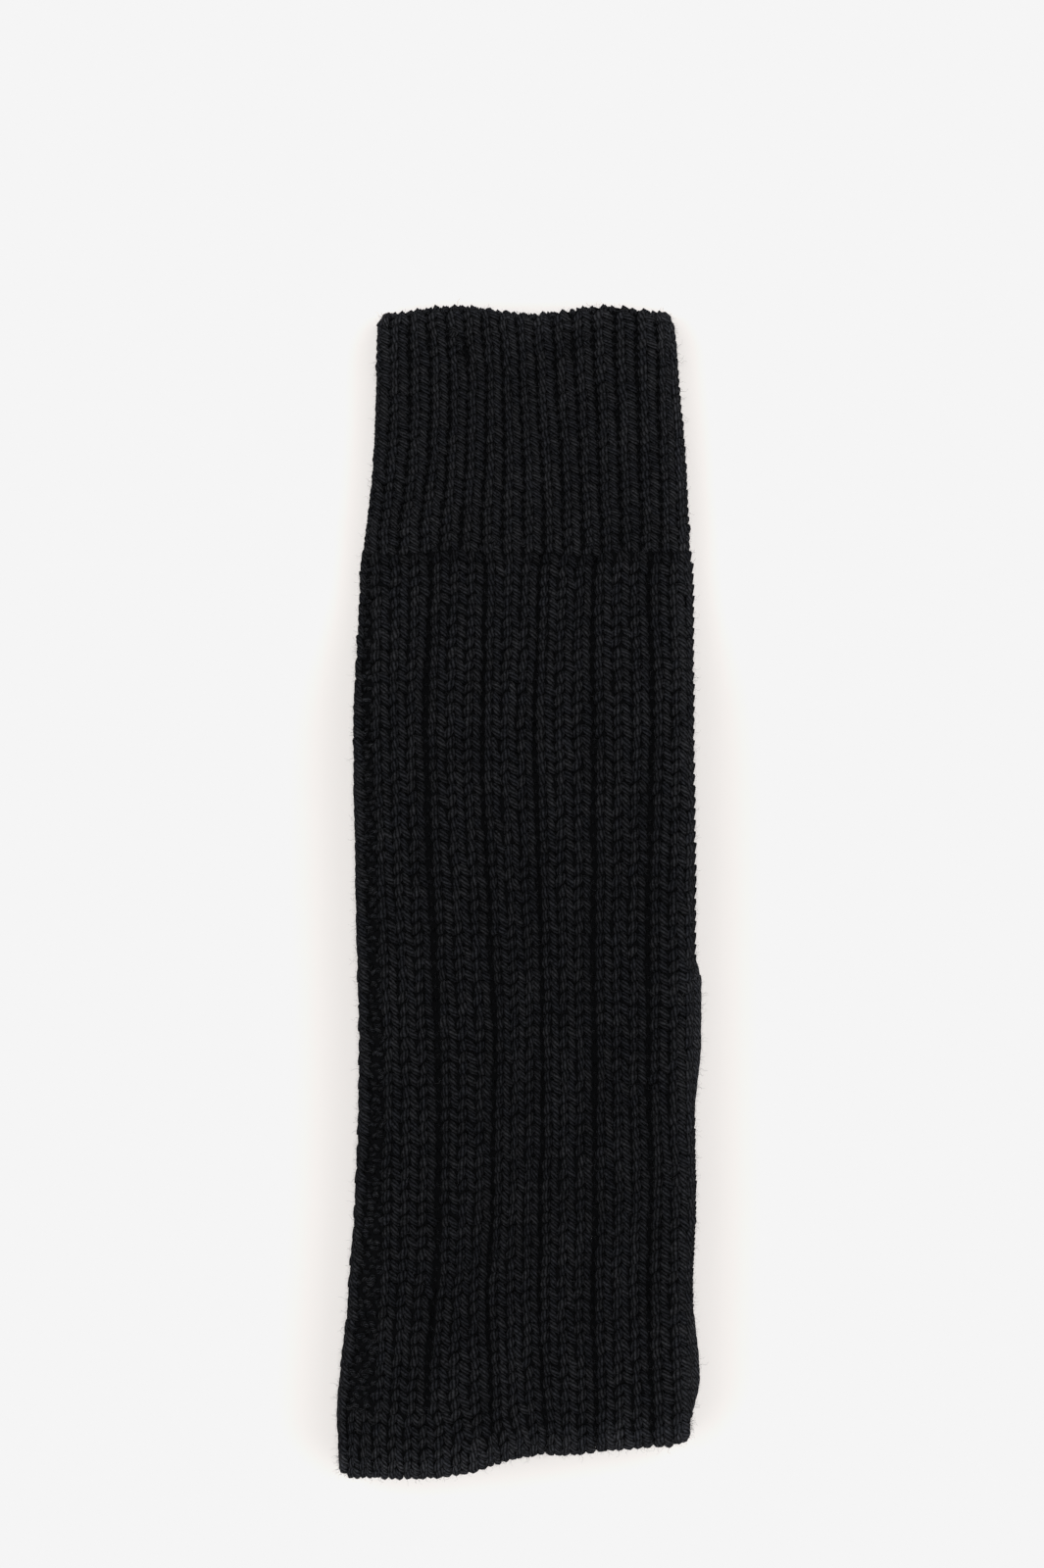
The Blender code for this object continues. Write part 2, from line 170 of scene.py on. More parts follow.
WANDER = 0.35  # how far a groove strays to either side

# Knitting gauge
WALE = 4.4
ROW = 3.15
CUFF_ROW = 2.52
TOP_ROW = 2.97  # of the leg's first courses
LEG_ROW = ROW + 0.06  # of those below SETTLED_RUN
FIRST_COURSE, LAST_COURSE = 0.6, 2.0  # from the cuff's edge and from the toe
CHANGE_RUN = CUFF_DEPTH - 1  # where the leg's courses start
LAST_PURLS = CUFF_DEPTH - 4  # below this only every third purl wale of the cuff goes on
ARM_SPREAD, CUFF_ARM_SPREAD = 0.25, 0.23  # from the middle of a wale to each arm, as a share of its width
CUFF_KNIT_SHARE, CUFF_PURL_SHARE = 0.97, 0.16  # of a narrow rib's pitch that its stitches take up
PURL_OVERLAP = 0.7  # how much wider a purl bump is than its wale
CALF_RUN = 190.0  # where the pieces of the calf end and those of the shin start
SINK = 0.95  # from the skin down to the middle plane of the stitches
SHELL_SINK = 1.65
UV_LENGTH = 4.0  # of yarn, over which its UV map runs from 0 to 1

# What is knitted of the parts that don't face up
SIDE_SHARE = 0.55  # of END_WIDTH, in from the outline
BACK_RUN = 90.0  # the lower sock's back, down to here
EDGE_SHOWN, TOE_SHOWN = 4.0, 10.0  # all round, from the cuff's edge and from the toe
RIM_REACH = 1.3  # from the outline, how far in the plainer arms of its stitches go
RIM_UNEVENNESS = 0.4  # of the stitches at the outline, against 1 on top

Sock = namedtuple("Sock", "name node level across along")
UPPER = Sock("upper", "upper_sock", 1, 0.0, 0.0)
LOWER = Sock("lower", "lower_sock", 0, 0.5, 0.3)

# The photographed frame: how much of the plane of the upper leg it shows, and from how high
FIELD_LENGTH = 432.0
FIELD_CENTRE_X, FIELD_CENTRE_Y = -0.675, 29.7
CAMERA_HEIGHT = 1500.0
SENSOR = 36.0
PAPER_WHITE = 0.913  # the white that the overexposed floor is printed as


def smooth(low, high, value):
    """0 below low, 1 above high, and an even ramp between."""
    share = np.clip((np.asarray(value, float) - low) / (high - low), 0.0, 1.0)
    return share * share * (3.0 - 2.0 * share)


def unit(vectors):
    """Rows of vectors, each brought to a length of 1."""
    return vectors / np.linalg.norm(vectors, axis=1)[:, None]


def curve(rows, column, at):
    """A smooth curve through one column of a table, whose first column says where each row lies.

    It never passes the values on either side.
    """
    stops = np.array([row[0] for row in rows], float)
    values = np.array([getattr(row, column) for row in rows], float)
    rises = np.diff(values) / np.diff(stops)
    turning = rises[:-1] * rises[1:] <= 0
    sums = np.where(turning, 1.0, rises[:-1] + rises[1:])
    between = np.where(turning, 0.0, 2 * rises[:-1] * rises[1:] / sums)
    slopes = np.concatenate([rises[:1], between, rises[-1:]])
    i = int(np.clip(np.searchsorted(stops, at) - 1, 0, len(stops) - 2))
    span = stops[i + 1] - stops[i]
    u = float(np.clip((at - stops[i]) / span, 0.0, 1.0))
    start = (1 + 2 * u) * (1 - u) ** 2 * values[i] + u * (1 - u) ** 2 * span * slopes[i]
    end = u * u * (3 - 2 * u) * values[i + 1] - u * u * (1 - u) * span * slopes[i + 1]
    return start + end


def waves(table, run, ribs, shift=0.0):
    """The sum of some waves at these places of a sock."""
    return sum(w.height * np.sin(run * w.along + ribs * w.round + w.start + shift) for w in table)


# The skin of a sock: run is the distance from the cuff's edge over the fold to the toe, and rib is the
# place round the tube, a whole number at each of the twelve grooves.


def split_ribs(ribs):
    """The groove that comes before each of these places round the tube, and how far past it they lie."""
    whole = np.floor(ribs)
    return whole.astype(int) % RIBS_AROUND, ribs - whole


def fold_rise(across):
    """How much higher the fold lies than at the heel."""
    beyond = np.maximum(across - FRONT_SIDE, 0.0)
    return HEEL_REACH * smooth(HEEL_SIDE, FRONT_SIDE, across) + FRONT_SLOPE * beyond


def drop_share(y):
    """1 where the foot lies under the leg, and 0 past its toe."""
    return 1.0 - smooth(DROP_START, DROP_END, y)


def support(level, y):
    """Height of what a sock lies on."""
    return level * LAYER * (1.0 + drop_share(y))


def place(sock, run, across, out):
    """World points, in the table's own place, of a section's points."""
    if run <= LEG_RUN:
        dip = EDGE_WAVE * (1 + np.cos(2 * math.pi * (across - EDGE_WAVE_DIP_AT) / EDGE_WAVE_LENGTH))
        y = TOP - run - dip * (1.0 - smooth(0.0, EDGE_WAVE_REACH, run))
        y = y + fold_rise(across) * smooth(LEG_SLANT_START, LEG_RUN, run) + sock.along
        z = support(sock.level, y) + HALF + drop_share(y) * LAYER + out
    elif run <= LEG_RUN + FOLD_RUN:
        turn = math.pi * (run - LEG_RUN) / FOLD_RUN
        middle_y = TOP - LEG_RUN + fold_rise(across) + sock.along
        middle_z = support(sock.level, middle_y) + 2 * HALF + GAP / 2
        radius = HALF + GAP / 2 + out
        y = middle_y - radius * math.sin(turn)
        z = middle_z + radius * math.cos(turn)
    else:
        up = run - LEG_RUN - FOLD_RUN
        slant = fold_rise(across) * (1.0 - smooth(0.0, FOOT_SLANT_END, up))
        y = TOP - LEG_RUN + up + slant + sock.along
        half = (drop_share(y) * LAYER - GAP) / 2
        z = support(sock.level, y) + half - out * half / HALF
    return np.column_stack([across + sock.across, y, z])


def tube_outline(left, right, half, end):
    """Dense closed section of a flattened tube, as (across, out), from its left edge over the top."""
    rising = np.linspace(math.pi, math.pi / 2, ARC_STEPS)
    falling = np.linspace(math.pi / 2, -math.pi / 2, 2 * ARC_STEPS)
    returning = np.linspace(-math.pi / 2, -math.pi, ARC_STEPS)
    parts = [(left + end, rising), (right - end, falling), (left + end, returning)]
    return np.concatenate([np.column_stack([x + end * np.cos(a), half * np.sin(a)]) for x, a in parts])


class Section:
    """One cross-section of a sock at a place along its run."""

    def __init__(self, sock, run):
        self.sock, self.run = sock, run
        down = min(run, LEG[-1].down)
        left, right = (float(curve(LEG, side, down)) for side in ("left", "right"))
        grooves = np.array([max(float(curve(LEG, f"g{i}", down)), left) for i in range(1, 7)])
        up = run - LEG_RUN - FOLD_RUN
        if up > 0:
            shares = (grooves - left) / (right - left)
            left, right = (float(curve(FOOT, side, up)) for side in ("left", "right"))
            share = max(0.0, (up - TOE_START) / (FOOT_LENGTH - TOE_START))
            round_share = math.sqrt(max(0.0, 1.0 - share**TOE_ROUNDNESS))
            width = TOE_END_SHARE + (1 - TOE_END_SHARE) * round_share
            middle = (left + right) / 2
            left, right = middle + (left - middle) * width, middle + (right - middle) * width
            grooves = left + shares * (right - left)
        self.left, self.right = left, right
        half = HALF - LIP_THINNING * (1.0 - float(smooth(0, LIP_LENGTH, run)))
        outline = tube_outline(left, right, half, END_WIDTH)
        steps = np.linalg.norm(np.diff(outline, axis=0), axis=1)
        along = np.concatenate([[0.0], np.cumsum(steps)])
        keep = np.concatenate([[True], steps > 1e-9])
        self.outline, self.along = outline[keep], along[keep]
        self.around = self.along[-1]
        first = self.from_left_edge(grooves)
        rest = np.linspace(first[-1], first[0] + self.around, RIBS_AROUND - len(first) + 2)
        stray = waves(GROOVE_WAVES, run, np.arange(RIBS_AROUND + 1))
        stray[[0, -1]] = 0.0
        self.edges = np.concatenate([first, rest[1:]]) + WANDER * stray
        self.edges[[0, -1]] += WIDE_GROOVE_SHIFT * float(smooth(CUFF_DEPTH, SETTLED_RUN, run))
        slopes = np.gradient(self.outline, self.along, axis=0)
        self.normals = np.column_stack([-slopes[:, 1], slopes[:, 0]])
        self.cuff = 1.0 - float(smooth(CUFF_DEPTH - RIB_CHANGE, CUFF_DEPTH + RIB_CHANGE, run))
        self.lip = LIP_RIB_SHARE + (1 - LIP_RIB_SHARE) * float(smooth(0, LIP_RIB_LENGTH, run))

    def from_left_edge(self, across):
        """Distance round the outline, from its left edge, of these places on its upper side."""
        upper = self.along < self.around / 2
        return np.interp(across, self.outline[upper, 0], self.along[upper])

    def inward(self, flat):
        """Distance from the nearer edge, as seen from above, of these points of the section."""
        return np.minimum(flat[:, 0] - self.left, self.right - flat[:, 0])

    def plain(self, groove):
        """1 where this groove has ended in plain knit."""
        end = HEEL_GROOVE_ENDS.get(groove % RIBS_AROUND)
        return 0.0 if end is None else float(smooth(end - HEEL_BLEND, end + HEEL_BLEND, self.run))

    def purl_half(self, groove):
        """Half the width of a leg's purl wale."""
        if groove % RIBS_AROUND == WIDE_GROOVE:
            return float(np.interp(self.run, WIDE_PURL_RUNS, WIDE_PURL_HALVES))
        pitch = (self.edges[-1] - self.edges[0]) / RIBS_AROUND
        half = PURL_HALVES.get(groove % RIBS_AROUND, PURL_HALF)
        settled = float(smooth(CUFF_DEPTH, SETTLED_RUN, self.run))
        half = half * (PURL_START_SHARE + (1 - PURL_START_SHARE) * settled)
        half = half * (1.0 - FOLD_NARROWING * float(smooth(NARROW_START, NARROW_END, self.run)))
        return half + (pitch / (2 * PLAIN_WALES) - half) * self.plain(groove)

    def beside(self, groove, reach):
        """The place round the tube this far to the right of a groove, or to its left if below 0."""
        at = self.edges[groove]
        before = self.edges[groove - 1] if groove else self.edges[-2] - self.around
        return groove + reach / (self.edges[groove + 1] - at if reach > 0 else at - before)

    def depth(self, rib):
        """How far the skin sinks at these places round the tube, into the grooves."""
        whole, part = split_ribs(rib)
        pitch = self.edges[whole + 1] - self.edges[whole]
        before, after = part * pitch, (1 - part) * pitch
        grooves = np.arange(RIBS_AROUND + 1)
        plain = np.array([self.plain(groove) for groove in grooves])
        reach = np.array([self.purl_half(groove) for groove in grooves]) + SHOULDER
        full = RIB_DEPTH * (1 - FOLD_SHALLOWING * float(smooth(SHALLOW_START, SHALLOW_END, self.run)))
        deep = full * (1 - plain) * np.where(grooves % RIBS_AROUND == WIDE_GROOVE, WIDE_GROOVE_DEPTH, 1)
        leg = deep[whole] * (1 - smooth(GROOVE_FLOOR, 1, before / reach[whole]))
        leg = leg + deep[whole + 1] * (1 - smooth(GROOVE_FLOOR, 1, after / reach[whole + 1]))
        third = part * KNIT_WALES - np.floor(part * KNIT_WALES)
        cuff = CUFF_RIB_DEPTH * (1 - smooth(0, CUFF_GROOVE_REACH, np.minimum(third, 1 - third)))
        return (leg + (cuff - leg) * self.cuff) * self.lip

    def points(self, rib, sink=0.0):
        """World points of the skin at these places round the tube, sunk by this much."""
        rib = np.asarray(rib, float)
        whole, part = split_ribs(rib)
        at = self.edges[whole] + part * (self.edges[whole + 1] - self.edges[whole])
        at = np.mod(at, self.around)
        flat, normal = (np.column_stack([np.interp(at, self.along, table[:, i]) for i in (0, 1)])
                        for table in (self.outline, self.normals))
        flat = flat - unit(normal) * (self.depth(rib) + sink)[:, None]
        return place(self.sock, self.run, flat[:, 0], flat[:, 1]), flat


def middle_of_pair():
    """The point under the middle of the pair in the table's place, which is the frame's origin."""
    runs = np.concatenate([np.arange(0.0, LEG_RUN, 4.0), np.arange(LEG_RUN, TOE_RUN, 1.0)])
    ribs = np.linspace(0, RIBS_AROUND, 300, endpoint=False)
    points = np.concatenate([Section(UPPER, run).points(ribs)[0] for run in runs])
    low = np.array(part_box(UPPER.node)[0]) / MM
    shift = points.min(axis=0) - low
    shift[2] = 0.0
    return shift


MIDDLE = middle_of_pair()


# Courses and wales

# Yarn shapes, in the order that the knitting picks them by: all arms come before the purl bumps
SHAPES = ["left_arm", "right_arm", "left_arm_plain", "right_arm_plain", "left_arm_cuff", "right_arm_cuff",
          "purl_bump", "purl_under", "purl_in_groove", "edge_loop"]
(LEFT, RIGHT, LEFT_PLAIN, RIGHT_PLAIN, LEFT_CUFF, RIGHT_CUFF, PURL, PURL_UNDER, PURL_DEEP,
 EDGE) = range(len(SHAPES))
PURL_WIDTH = 3.7  # of the purl bump as it is made


def course_runs():
    """Where each course of stitches starts, along the run, and its height there."""
    runs, run = [], FIRST_COURSE
    while run < TOE_RUN - LAST_COURSE:
        height = CUFF_ROW
        if run >= CHANGE_RUN:
            height = TOP_ROW + (LEG_ROW - TOP_ROW) * float(smooth(CUFF_DEPTH, SETTLED_RUN, run))
        runs.append((run, height))
        run += height
    return runs


def wales(section):
    """Every arm and purl bump of a course, as (place round the tube, width of its wale in mm, shape)."""
    found = []
    in_cuff = section.run < CHANGE_RUN
    spread = CUFF_ARM_SPREAD if in_cuff else ARM_SPREAD

    def knit(rib, reach, width):
        found.append((section.beside(rib, reach - spread * width), width, LEFT))
        found.append((section.beside(rib, reach + spread * width), width, RIGHT))

    for rib in range(RIBS_AROUND):
        pitch = section.edges[rib + 1] - section.edges[rib]
        if in_cuff:
            narrow = pitch / KNIT_WALES
            for wale in range(KNIT_WALES):
                if wale == 0 or section.run < LAST_PURLS:
                    found.append((rib + wale / KNIT_WALES, narrow * CUFF_PURL_SHARE, PURL_DEEP))
                knit(rib, (wale + 0.5) / KNIT_WALES * pitch, narrow * CUFF_KNIT_SHARE)
            continue
        half = section.purl_half(rib) * (PULLED_SHARE if rib == WIDE_GROOVE else 1.0)
        plain = section.plain(rib) >= 0.5
        columns = max(1, round(2 * half / (WALE if plain else PULLED_WALE)))
        bump = 2 * half / columns
        for column in range(columns):
            middle = ((column + 0.5) / columns - 0.5) * 2 * half
            if plain:
                knit(rib, middle, bump)
            elif rib == WIDE_GROOVE:
                found.append((section.beside(rib, middle), bump, PURL))
                stray = middle + UNDER_STRAY * math.sin(7 * section.run + 2 * column)
                found.append((section.beside(rib, stray), UNDER_SHARE * bump, PURL_UNDER))
            else:
                found.append((rib, 2 * half, PURL_DEEP))
        width = (pitch - half - section.purl_half(rib + 1)) / KNIT_WALES
        for wale in range(KNIT_WALES):
            knit(rib, half + (wale + 0.5) * width, width)
    return found


# Painted shade and tone that are added to the yarn's own, which is 1: paler above 0 and darker below it. The
# purl bumps in the grooves, the arms beside a groove and the leg's first course under the cuff carry painted
# shade; the rest is tone
GROOVE_PALE, CUFF_GROOVE_PALE = 0.45, 0.35
LIP_GROOVE_PALE, LIP_GROOVE_FADE = 0.4, 12.0  # more in the cuff's grooves towards its edge
FOLD_GROOVE_PALE, FOLD_GROOVE_REACH = 1.1, 50.0  # more in the leg's grooves towards the fold
STRIP_PALE, STRIP_SWING = 0.50, 0.45  # of the crumpled bumps at the left edge, and how much they differ
STRIP_END_PALE, STRIP_END_SWING = -0.14, -0.22  # what is added to both from STRIP_EVEN down
CUFF_RIB_PALE = 0.05
BESIDE_GROOVE_PALE, BESIDE_GROOVE = -0.08, 0.15  # painted shade on the arms this near to a groove, in ribs
UNDER_CUFF_PALE, UNDER_CUFF_LENGTH = -0.30, 3.5  # painted shadow of the cuff's end on the leg's first course
SLOW_IN_GROOVE, SLOW_IN_STRIP, SLOW_ON_RIB = 0.22, 0.08, 0.04  # shares of SHADE_WAVES


def painted_shade_and_tone(ribs, run, kinds):
    """Painted shade and random tone of each stitch. The purl bumps in the grooves get painted shade that
    comes and goes along their run, and the arms beside a groove and the leg's first course under the cuff get
    painted shade too.
    """
    slow = waves(SHADE_WAVES, run, ribs)
    in_groove = SLOW_IN_GROOVE * slow + waves(GROOVE_SHADE_WAVES, run, ribs)
    if run < CUFF_DEPTH:
        in_groove = in_groove + CUFF_GROOVE_PALE + LIP_GROOVE_PALE * math.exp(-run / LIP_GROOVE_FADE)
        beside_groove = CUFF_RIB_PALE
    else:
        in_groove = in_groove + GROOVE_PALE
        _, part = split_ribs(ribs)
        # painted shade on the arms beside a groove
        beside_groove = BESIDE_GROOVE_PALE * (np.minimum(part, 1 - part) < BESIDE_GROOVE)
    in_groove = in_groove + FOLD_GROOVE_PALE * float(smooth(LEG_RUN - FOLD_GROOVE_REACH, LEG_RUN, run))
    strip_end = float(smooth(STRIP_FADE, STRIP_EVEN, run))
    swing = STRIP_SWING + STRIP_END_SWING * strip_end
    in_strip = SLOW_IN_STRIP * slow + swing * waves(STRIP_SHADE_WAVES, run, ribs, 2.0 * kinds)
    in_strip = in_strip + STRIP_PALE + STRIP_END_PALE * strip_end
    purl = np.where(kinds == PURL_DEEP, in_groove, in_strip)
    # painted shadow under the cuff's end, on the leg's first course
    past_cuff = smooth(CUFF_DEPTH - 1.0, CUFF_DEPTH, run)
    past_course = smooth(CUFF_DEPTH, CUFF_DEPTH + UNDER_CUFF_LENGTH, run)
    under_cuff = UNDER_CUFF_PALE * float(past_cuff * (1.0 - past_course))
    return np.where(kinds >= PURL, purl, SLOW_ON_RIB * slow + beside_groove + under_cuff)


def frames(sock, run, ribs, sink):
    """Places on the skin, the directions out of it and towards the cuff, and the places in the section."""
    step, side = 0.6, 0.05  # how far apart the neighbours lie, along the run and in ribs
    section = Section(sock, run)
    here, flat = section.points(ribs, sink)
    if abs(run - CUFF_DEPTH) < RIB_CHANGE + 1:
        # The ribs change shape here, which would tilt the stitches, so this section's own points are followed
        before = place(sock, run - step, flat[:, 0], flat[:, 1])
        after = place(sock, run + step, flat[:, 0], flat[:, 1])
    else:
        before, _ = Section(sock, max(run - step, 0.0)).points(ribs, sink)
        after, _ = Section(sock, run + step).points(ribs, sink)
    left, _ = section.points(np.asarray(ribs) - side, sink)
    right, _ = section.points(np.asarray(ribs) + side, sink)
    aim = unit(before - after)
    out = unit(np.cross(right - left, aim))
    return here - MIDDLE, out, aim, flat


def shown(sock, section, flat):
    """Which stitches of a course can be seen: 2 for the face on top, 1 for the sides, 0 for hidden."""
    across, out = flat[:, 0], flat[:, 1]
    inner = SIDE_SHARE * END_WIDTH
    at_edge = (across < section.left + inner) | (across > section.right - inner)
    level = np.where(at_edge, 1, 0)
    run = section.run
    if run < LEG_RUN:
        if sock.level == 1:
            level = np.where(out > 0, 2, level)
        elif run < BACK_RUN:
            level = np.where(out < 0, 1, level)
        if run < EDGE_SHOWN:
            level = np.maximum(level, 1)
    elif run < LEG_RUN + FOLD_RUN:
        level = np.where(out > 0, 2 if sock.level == 1 else 1, level)
    else:
        if sock.level == 0:
            level = np.where(out > 0, 1, level)
        if run > TOE_RUN - TOE_SHOWN:
            level = np.maximum(level, 1)
    return level


# Painted sheen: paler wool at the outline, the cuff's edge and the fold, where its fibres are seen edge on
# and catch the light: how much, and the distance over which it fades
Glow = namedtuple("Glow", "pale fade")
OUTLINE_GLOW = Glow(0.42, 2.0)
RIGHT_GLOW = Glow(0.36, 3.5)  # more at the right of the leg, a painted highlight on that rim
CUFF_RIGHT_GLOW = Glow(0.40, 4.0)  # and more again at the right of the cuff
EDGE_GLOW = Glow(0.45, 6.0)  # down from the cuff's edge
# Painted sheen across the fold, between these runs
FOLD_PALE = 0.95
FOLD_PALE_START, FOLD_PALE_END = LEG_RUN - 6.0, LEG_RUN + 0.3 * FOLD_RUN
EVERYWHERE_PALE = 0.05
MIDDLE_PALE = -0.12  # of the leg's middle, and the runs between which it comes and goes
MIDDLE_START, MIDDLE_FULL, MIDDLE_FADE, MIDDLE_END = 60.0, 210.0, 280.0, 300.0


def glow_at(glow, distance):
    """How much paler a glow makes the wool this far in."""
    return glow.pale * np.exp(-distance / glow.fade)


def nap(section, flat):
    """How much paler the wool is painted where its fibres are seen edge on, as painted sheen: at the outline,
    cuff's edge and fold; with an even share and a darker middle of the leg.
    """
    from_right = np.maximum(section.right - flat[:, 0], 0.0)
    inward = np.maximum(section.inward(flat), 0.0)
    run = section.run
    pale = glow_at(OUTLINE_GLOW, inward) + glow_at(RIGHT_GLOW, from_right) + glow_at(EDGE_GLOW, run)
    pale = pale + section.cuff * glow_at(CUFF_RIGHT_GLOW, from_right)
    pale = pale + FOLD_PALE * float(smooth(FOLD_PALE_START, FOLD_PALE_END, run))
    middle = smooth(MIDDLE_START, MIDDLE_FULL, run) * (1.0 - smooth(MIDDLE_FADE, MIDDLE_END, run))
    return pale + EVERYWHERE_PALE + MIDDLE_PALE * float(middle)


# Loops that stand out of the even knitting of the upper sock, mostly where the cuff meets the leg: place
# across and down from the edge, turn from upright in degrees, and size
StrayLoop = namedtuple("StrayLoop", "across down turn size")
STRAY_LOOPS = [
    StrayLoop(-0.6, 65.5, -120, 0.90),
    StrayLoop(18.8, 66.0, 50, 0.80),
    StrayLoop(-8.5, 65.0, 35, 0.95),
    StrayLoop(-5.0, 66.5, 140, 0.90),
    StrayLoop(-11.5, 67.0, 165, 0.85),
    StrayLoop(-25.0, 67.0, 60, 0.75),
    StrayLoop(33.0, 67.5, 125, 0.75),
    StrayLoop(-19.5, 7.0, 95, 1.00),
    StrayLoop(-18.0, 10.5, 80, 0.90),
    StrayLoop(17.5, 8.0, 85, 0.95),
]
STRAY_LOOP_STRETCH = (0.8, 0.9, 0.9)  # of a loop of size 1: across, along and out
STRAY_LOOP_RISE = 0.7  # out of the stitches round it

# Small hollows of the pucker under the cuff's edge of the upper sock, whose stitches sink and are darkened
# with painted shade: place, half size and darkness
Hollow = namedtuple("Hollow", "across down wide long dark")
HOLLOWS = [
    Hollow(-17.4, 9.8, 1.6, 3.4, 0.80),
    Hollow(13.2, 8.0, 1.3, 4.2, 0.80),
    Hollow(8.4, 9.8, 1.2, 3.2, 0.70),
]
HOLLOW_SINK = 0.8  # how far a wholly dark stitch would sink


def hollow_at(across, run):
    """How much painted shade the hollows put on these stitches of the upper sock."""
    dark = np.zeros(len(across))
    for hollow in HOLLOWS:
        beside, below = (across - hollow.across) / hollow.wide, (run - hollow.down) / hollow.long
        dark = dark + hollow.dark * np.exp(-beside**2 - below**2)
    return dark


def stray_loops(sock):
    """The stray loops' places, directions and sizes."""
    rows = []
    for loop in STRAY_LOOPS:
        section = Section(sock, loop.down)
        rib = np.interp(section.from_left_edge(loop.across), section.edges, np.arange(RIBS_AROUND + 1))
        middle, out, aim, flat = frames(sock, loop.down, np.array([rib]), SINK - STRAY_LOOP_RISE)
        beside = np.cross(aim, out)
        turn = math.radians(loop.turn)
        aim = aim * math.cos(turn) + beside * math.sin(turn)
        size = np.array([STRAY_LOOP_STRETCH]) * loop.size
        rows.append((middle, out, aim, size, np.array([EDGE]), nap(section, flat)))
    return [np.concatenate(parts) for parts in zip(*rows)]


# The loops that close the cuff's edge, one over each wale
EDGE_LOOP_STRETCH = (0.62, 0.8, 1.0)  # of a loop of size 1: across, along and out
EDGE_LOOP_RISE = 0.3  # towards the cuff's edge
KNIT_LOOP_SIZE, PURL_LOOP_SIZE = 1.05, 0.9
ARM_TO_WALE = 1 / 60  # from a left arm to the middle of its wale, in ribs for each mm of the wale's width


def edge_loops(section, ribs, widths, kinds):
    """The places, directions and sizes of the cuff's edge loops, over the knit wales and then the purls."""
    for kind, shift, size in ((LEFT, ARM_TO_WALE, KNIT_LOOP_SIZE), (PURL_DEEP, 0.0, PURL_LOOP_SIZE)):
        chosen = kinds == kind
        middles = ribs[chosen] + shift * widths[chosen]
        places, outs, aims, flat = frames(section.sock, section.run, middles, SINK)
        sizes = np.tile(np.array(EDGE_LOOP_STRETCH) * size, (len(middles), 1))
        shapes = np.full(len(middles), EDGE)
        yield places + aims * EDGE_LOOP_RISE, outs, aims, sizes, shapes, nap(section, flat)


# Regions of the knitting, from the cuff to the toe, and where along the run each ends
REGION_ENDS = {
    "cuff": CHANGE_RUN,
    "calf": CALF_RUN,
    "shin": LEG_RUN,
    "ankle": LEG_RUN + FOLD_RUN,
    "foot": TOE_RUN,
}


def stitch_spots(sock):
    """Every stitch of a sock that can be seen, by region and by side."""
    regions = {}

    def add(region, spots):
        regions.setdefault(region, []).append(spots)

    for course, (run, height) in enumerate(course_runs()):
        section = Section(sock, run)
        ribs, widths, kinds = (np.array(values) for values in zip(*wales(section)))
        places, outs, aims, flat = frames(sock, run, ribs, SINK)
        places = places - aims * (waves(COURSE_WAVES, run, ribs) * height)[:, None]
        pulled = (kinds == PURL) | (kinds == PURL_UNDER)
        slant = waves(STRIP_SLANT_WAVES, run, ribs, 2.0 * kinds)[pulled, None]
        aims[pulled] = aims[pulled] * np.cos(slant) + np.cross(aims, outs)[pulled] * np.sin(slant)
        under = kinds == PURL_UNDER
        aims[under] *= -1
        places[under] += aims[under] * (UNDER_DROP * height)
        level = shown(sock, section, flat)
        # Painted sheen and shade, and tone, of each stitch
        pale = nap(section, flat) + painted_shade_and_tone(ribs, run, kinds)
        # In the hollows the stitches sink and get painted shade
        if sock.level and run < CUFF_DEPTH / 2:
            dark = hollow_at(flat[:, 0], run)
            places = places - outs * (HOLLOW_SINK * dark)[:, None]
            pale = pale - dark
        purl = kinds >= PURL
        across = np.where(purl, (widths + PURL_OVERLAP) / PURL_WIDTH, widths / WALE)
        fuller = PULLED_THICKENING * float(smooth(STRIP_FADE, STRIP_EVEN, run))
        thickness = np.where(pulled, PULLED_THICKNESS + fuller, 1.0)
        sizes = np.column_stack([across, thickness * height / ROW, thickness])
        region = next(name for name, end in REGION_ENDS.items() if run < end)
        at_rim = (level == 1) | ((section.inward(flat) < RIM_REACH) & (run < LEG_RUN))
        face_arm = LEFT_CUFF - LEFT if region == "cuff" else 0
        shapes = kinds + np.where(purl, 0, np.where(at_rim, LEFT_PLAIN - LEFT, face_arm))
        for face, name in ((2, "top"), (1, "side")):
            chosen = level == face
            if chosen.any():
                add(f"{region}_{name}", [v[chosen] for v in (places, outs, aims, sizes, shapes, pale)])
        if course == 0:
            for loops in edge_loops(section, ribs, widths, kinds):
                add("cuff_top", loops)
    if sock.level:
        add("cuff_top", stray_loops(sock))
    return {name: [np.concatenate(parts) for parts in zip(*rows)] for name, rows in regions.items()}


# Yarn shapes that the stitches repeat

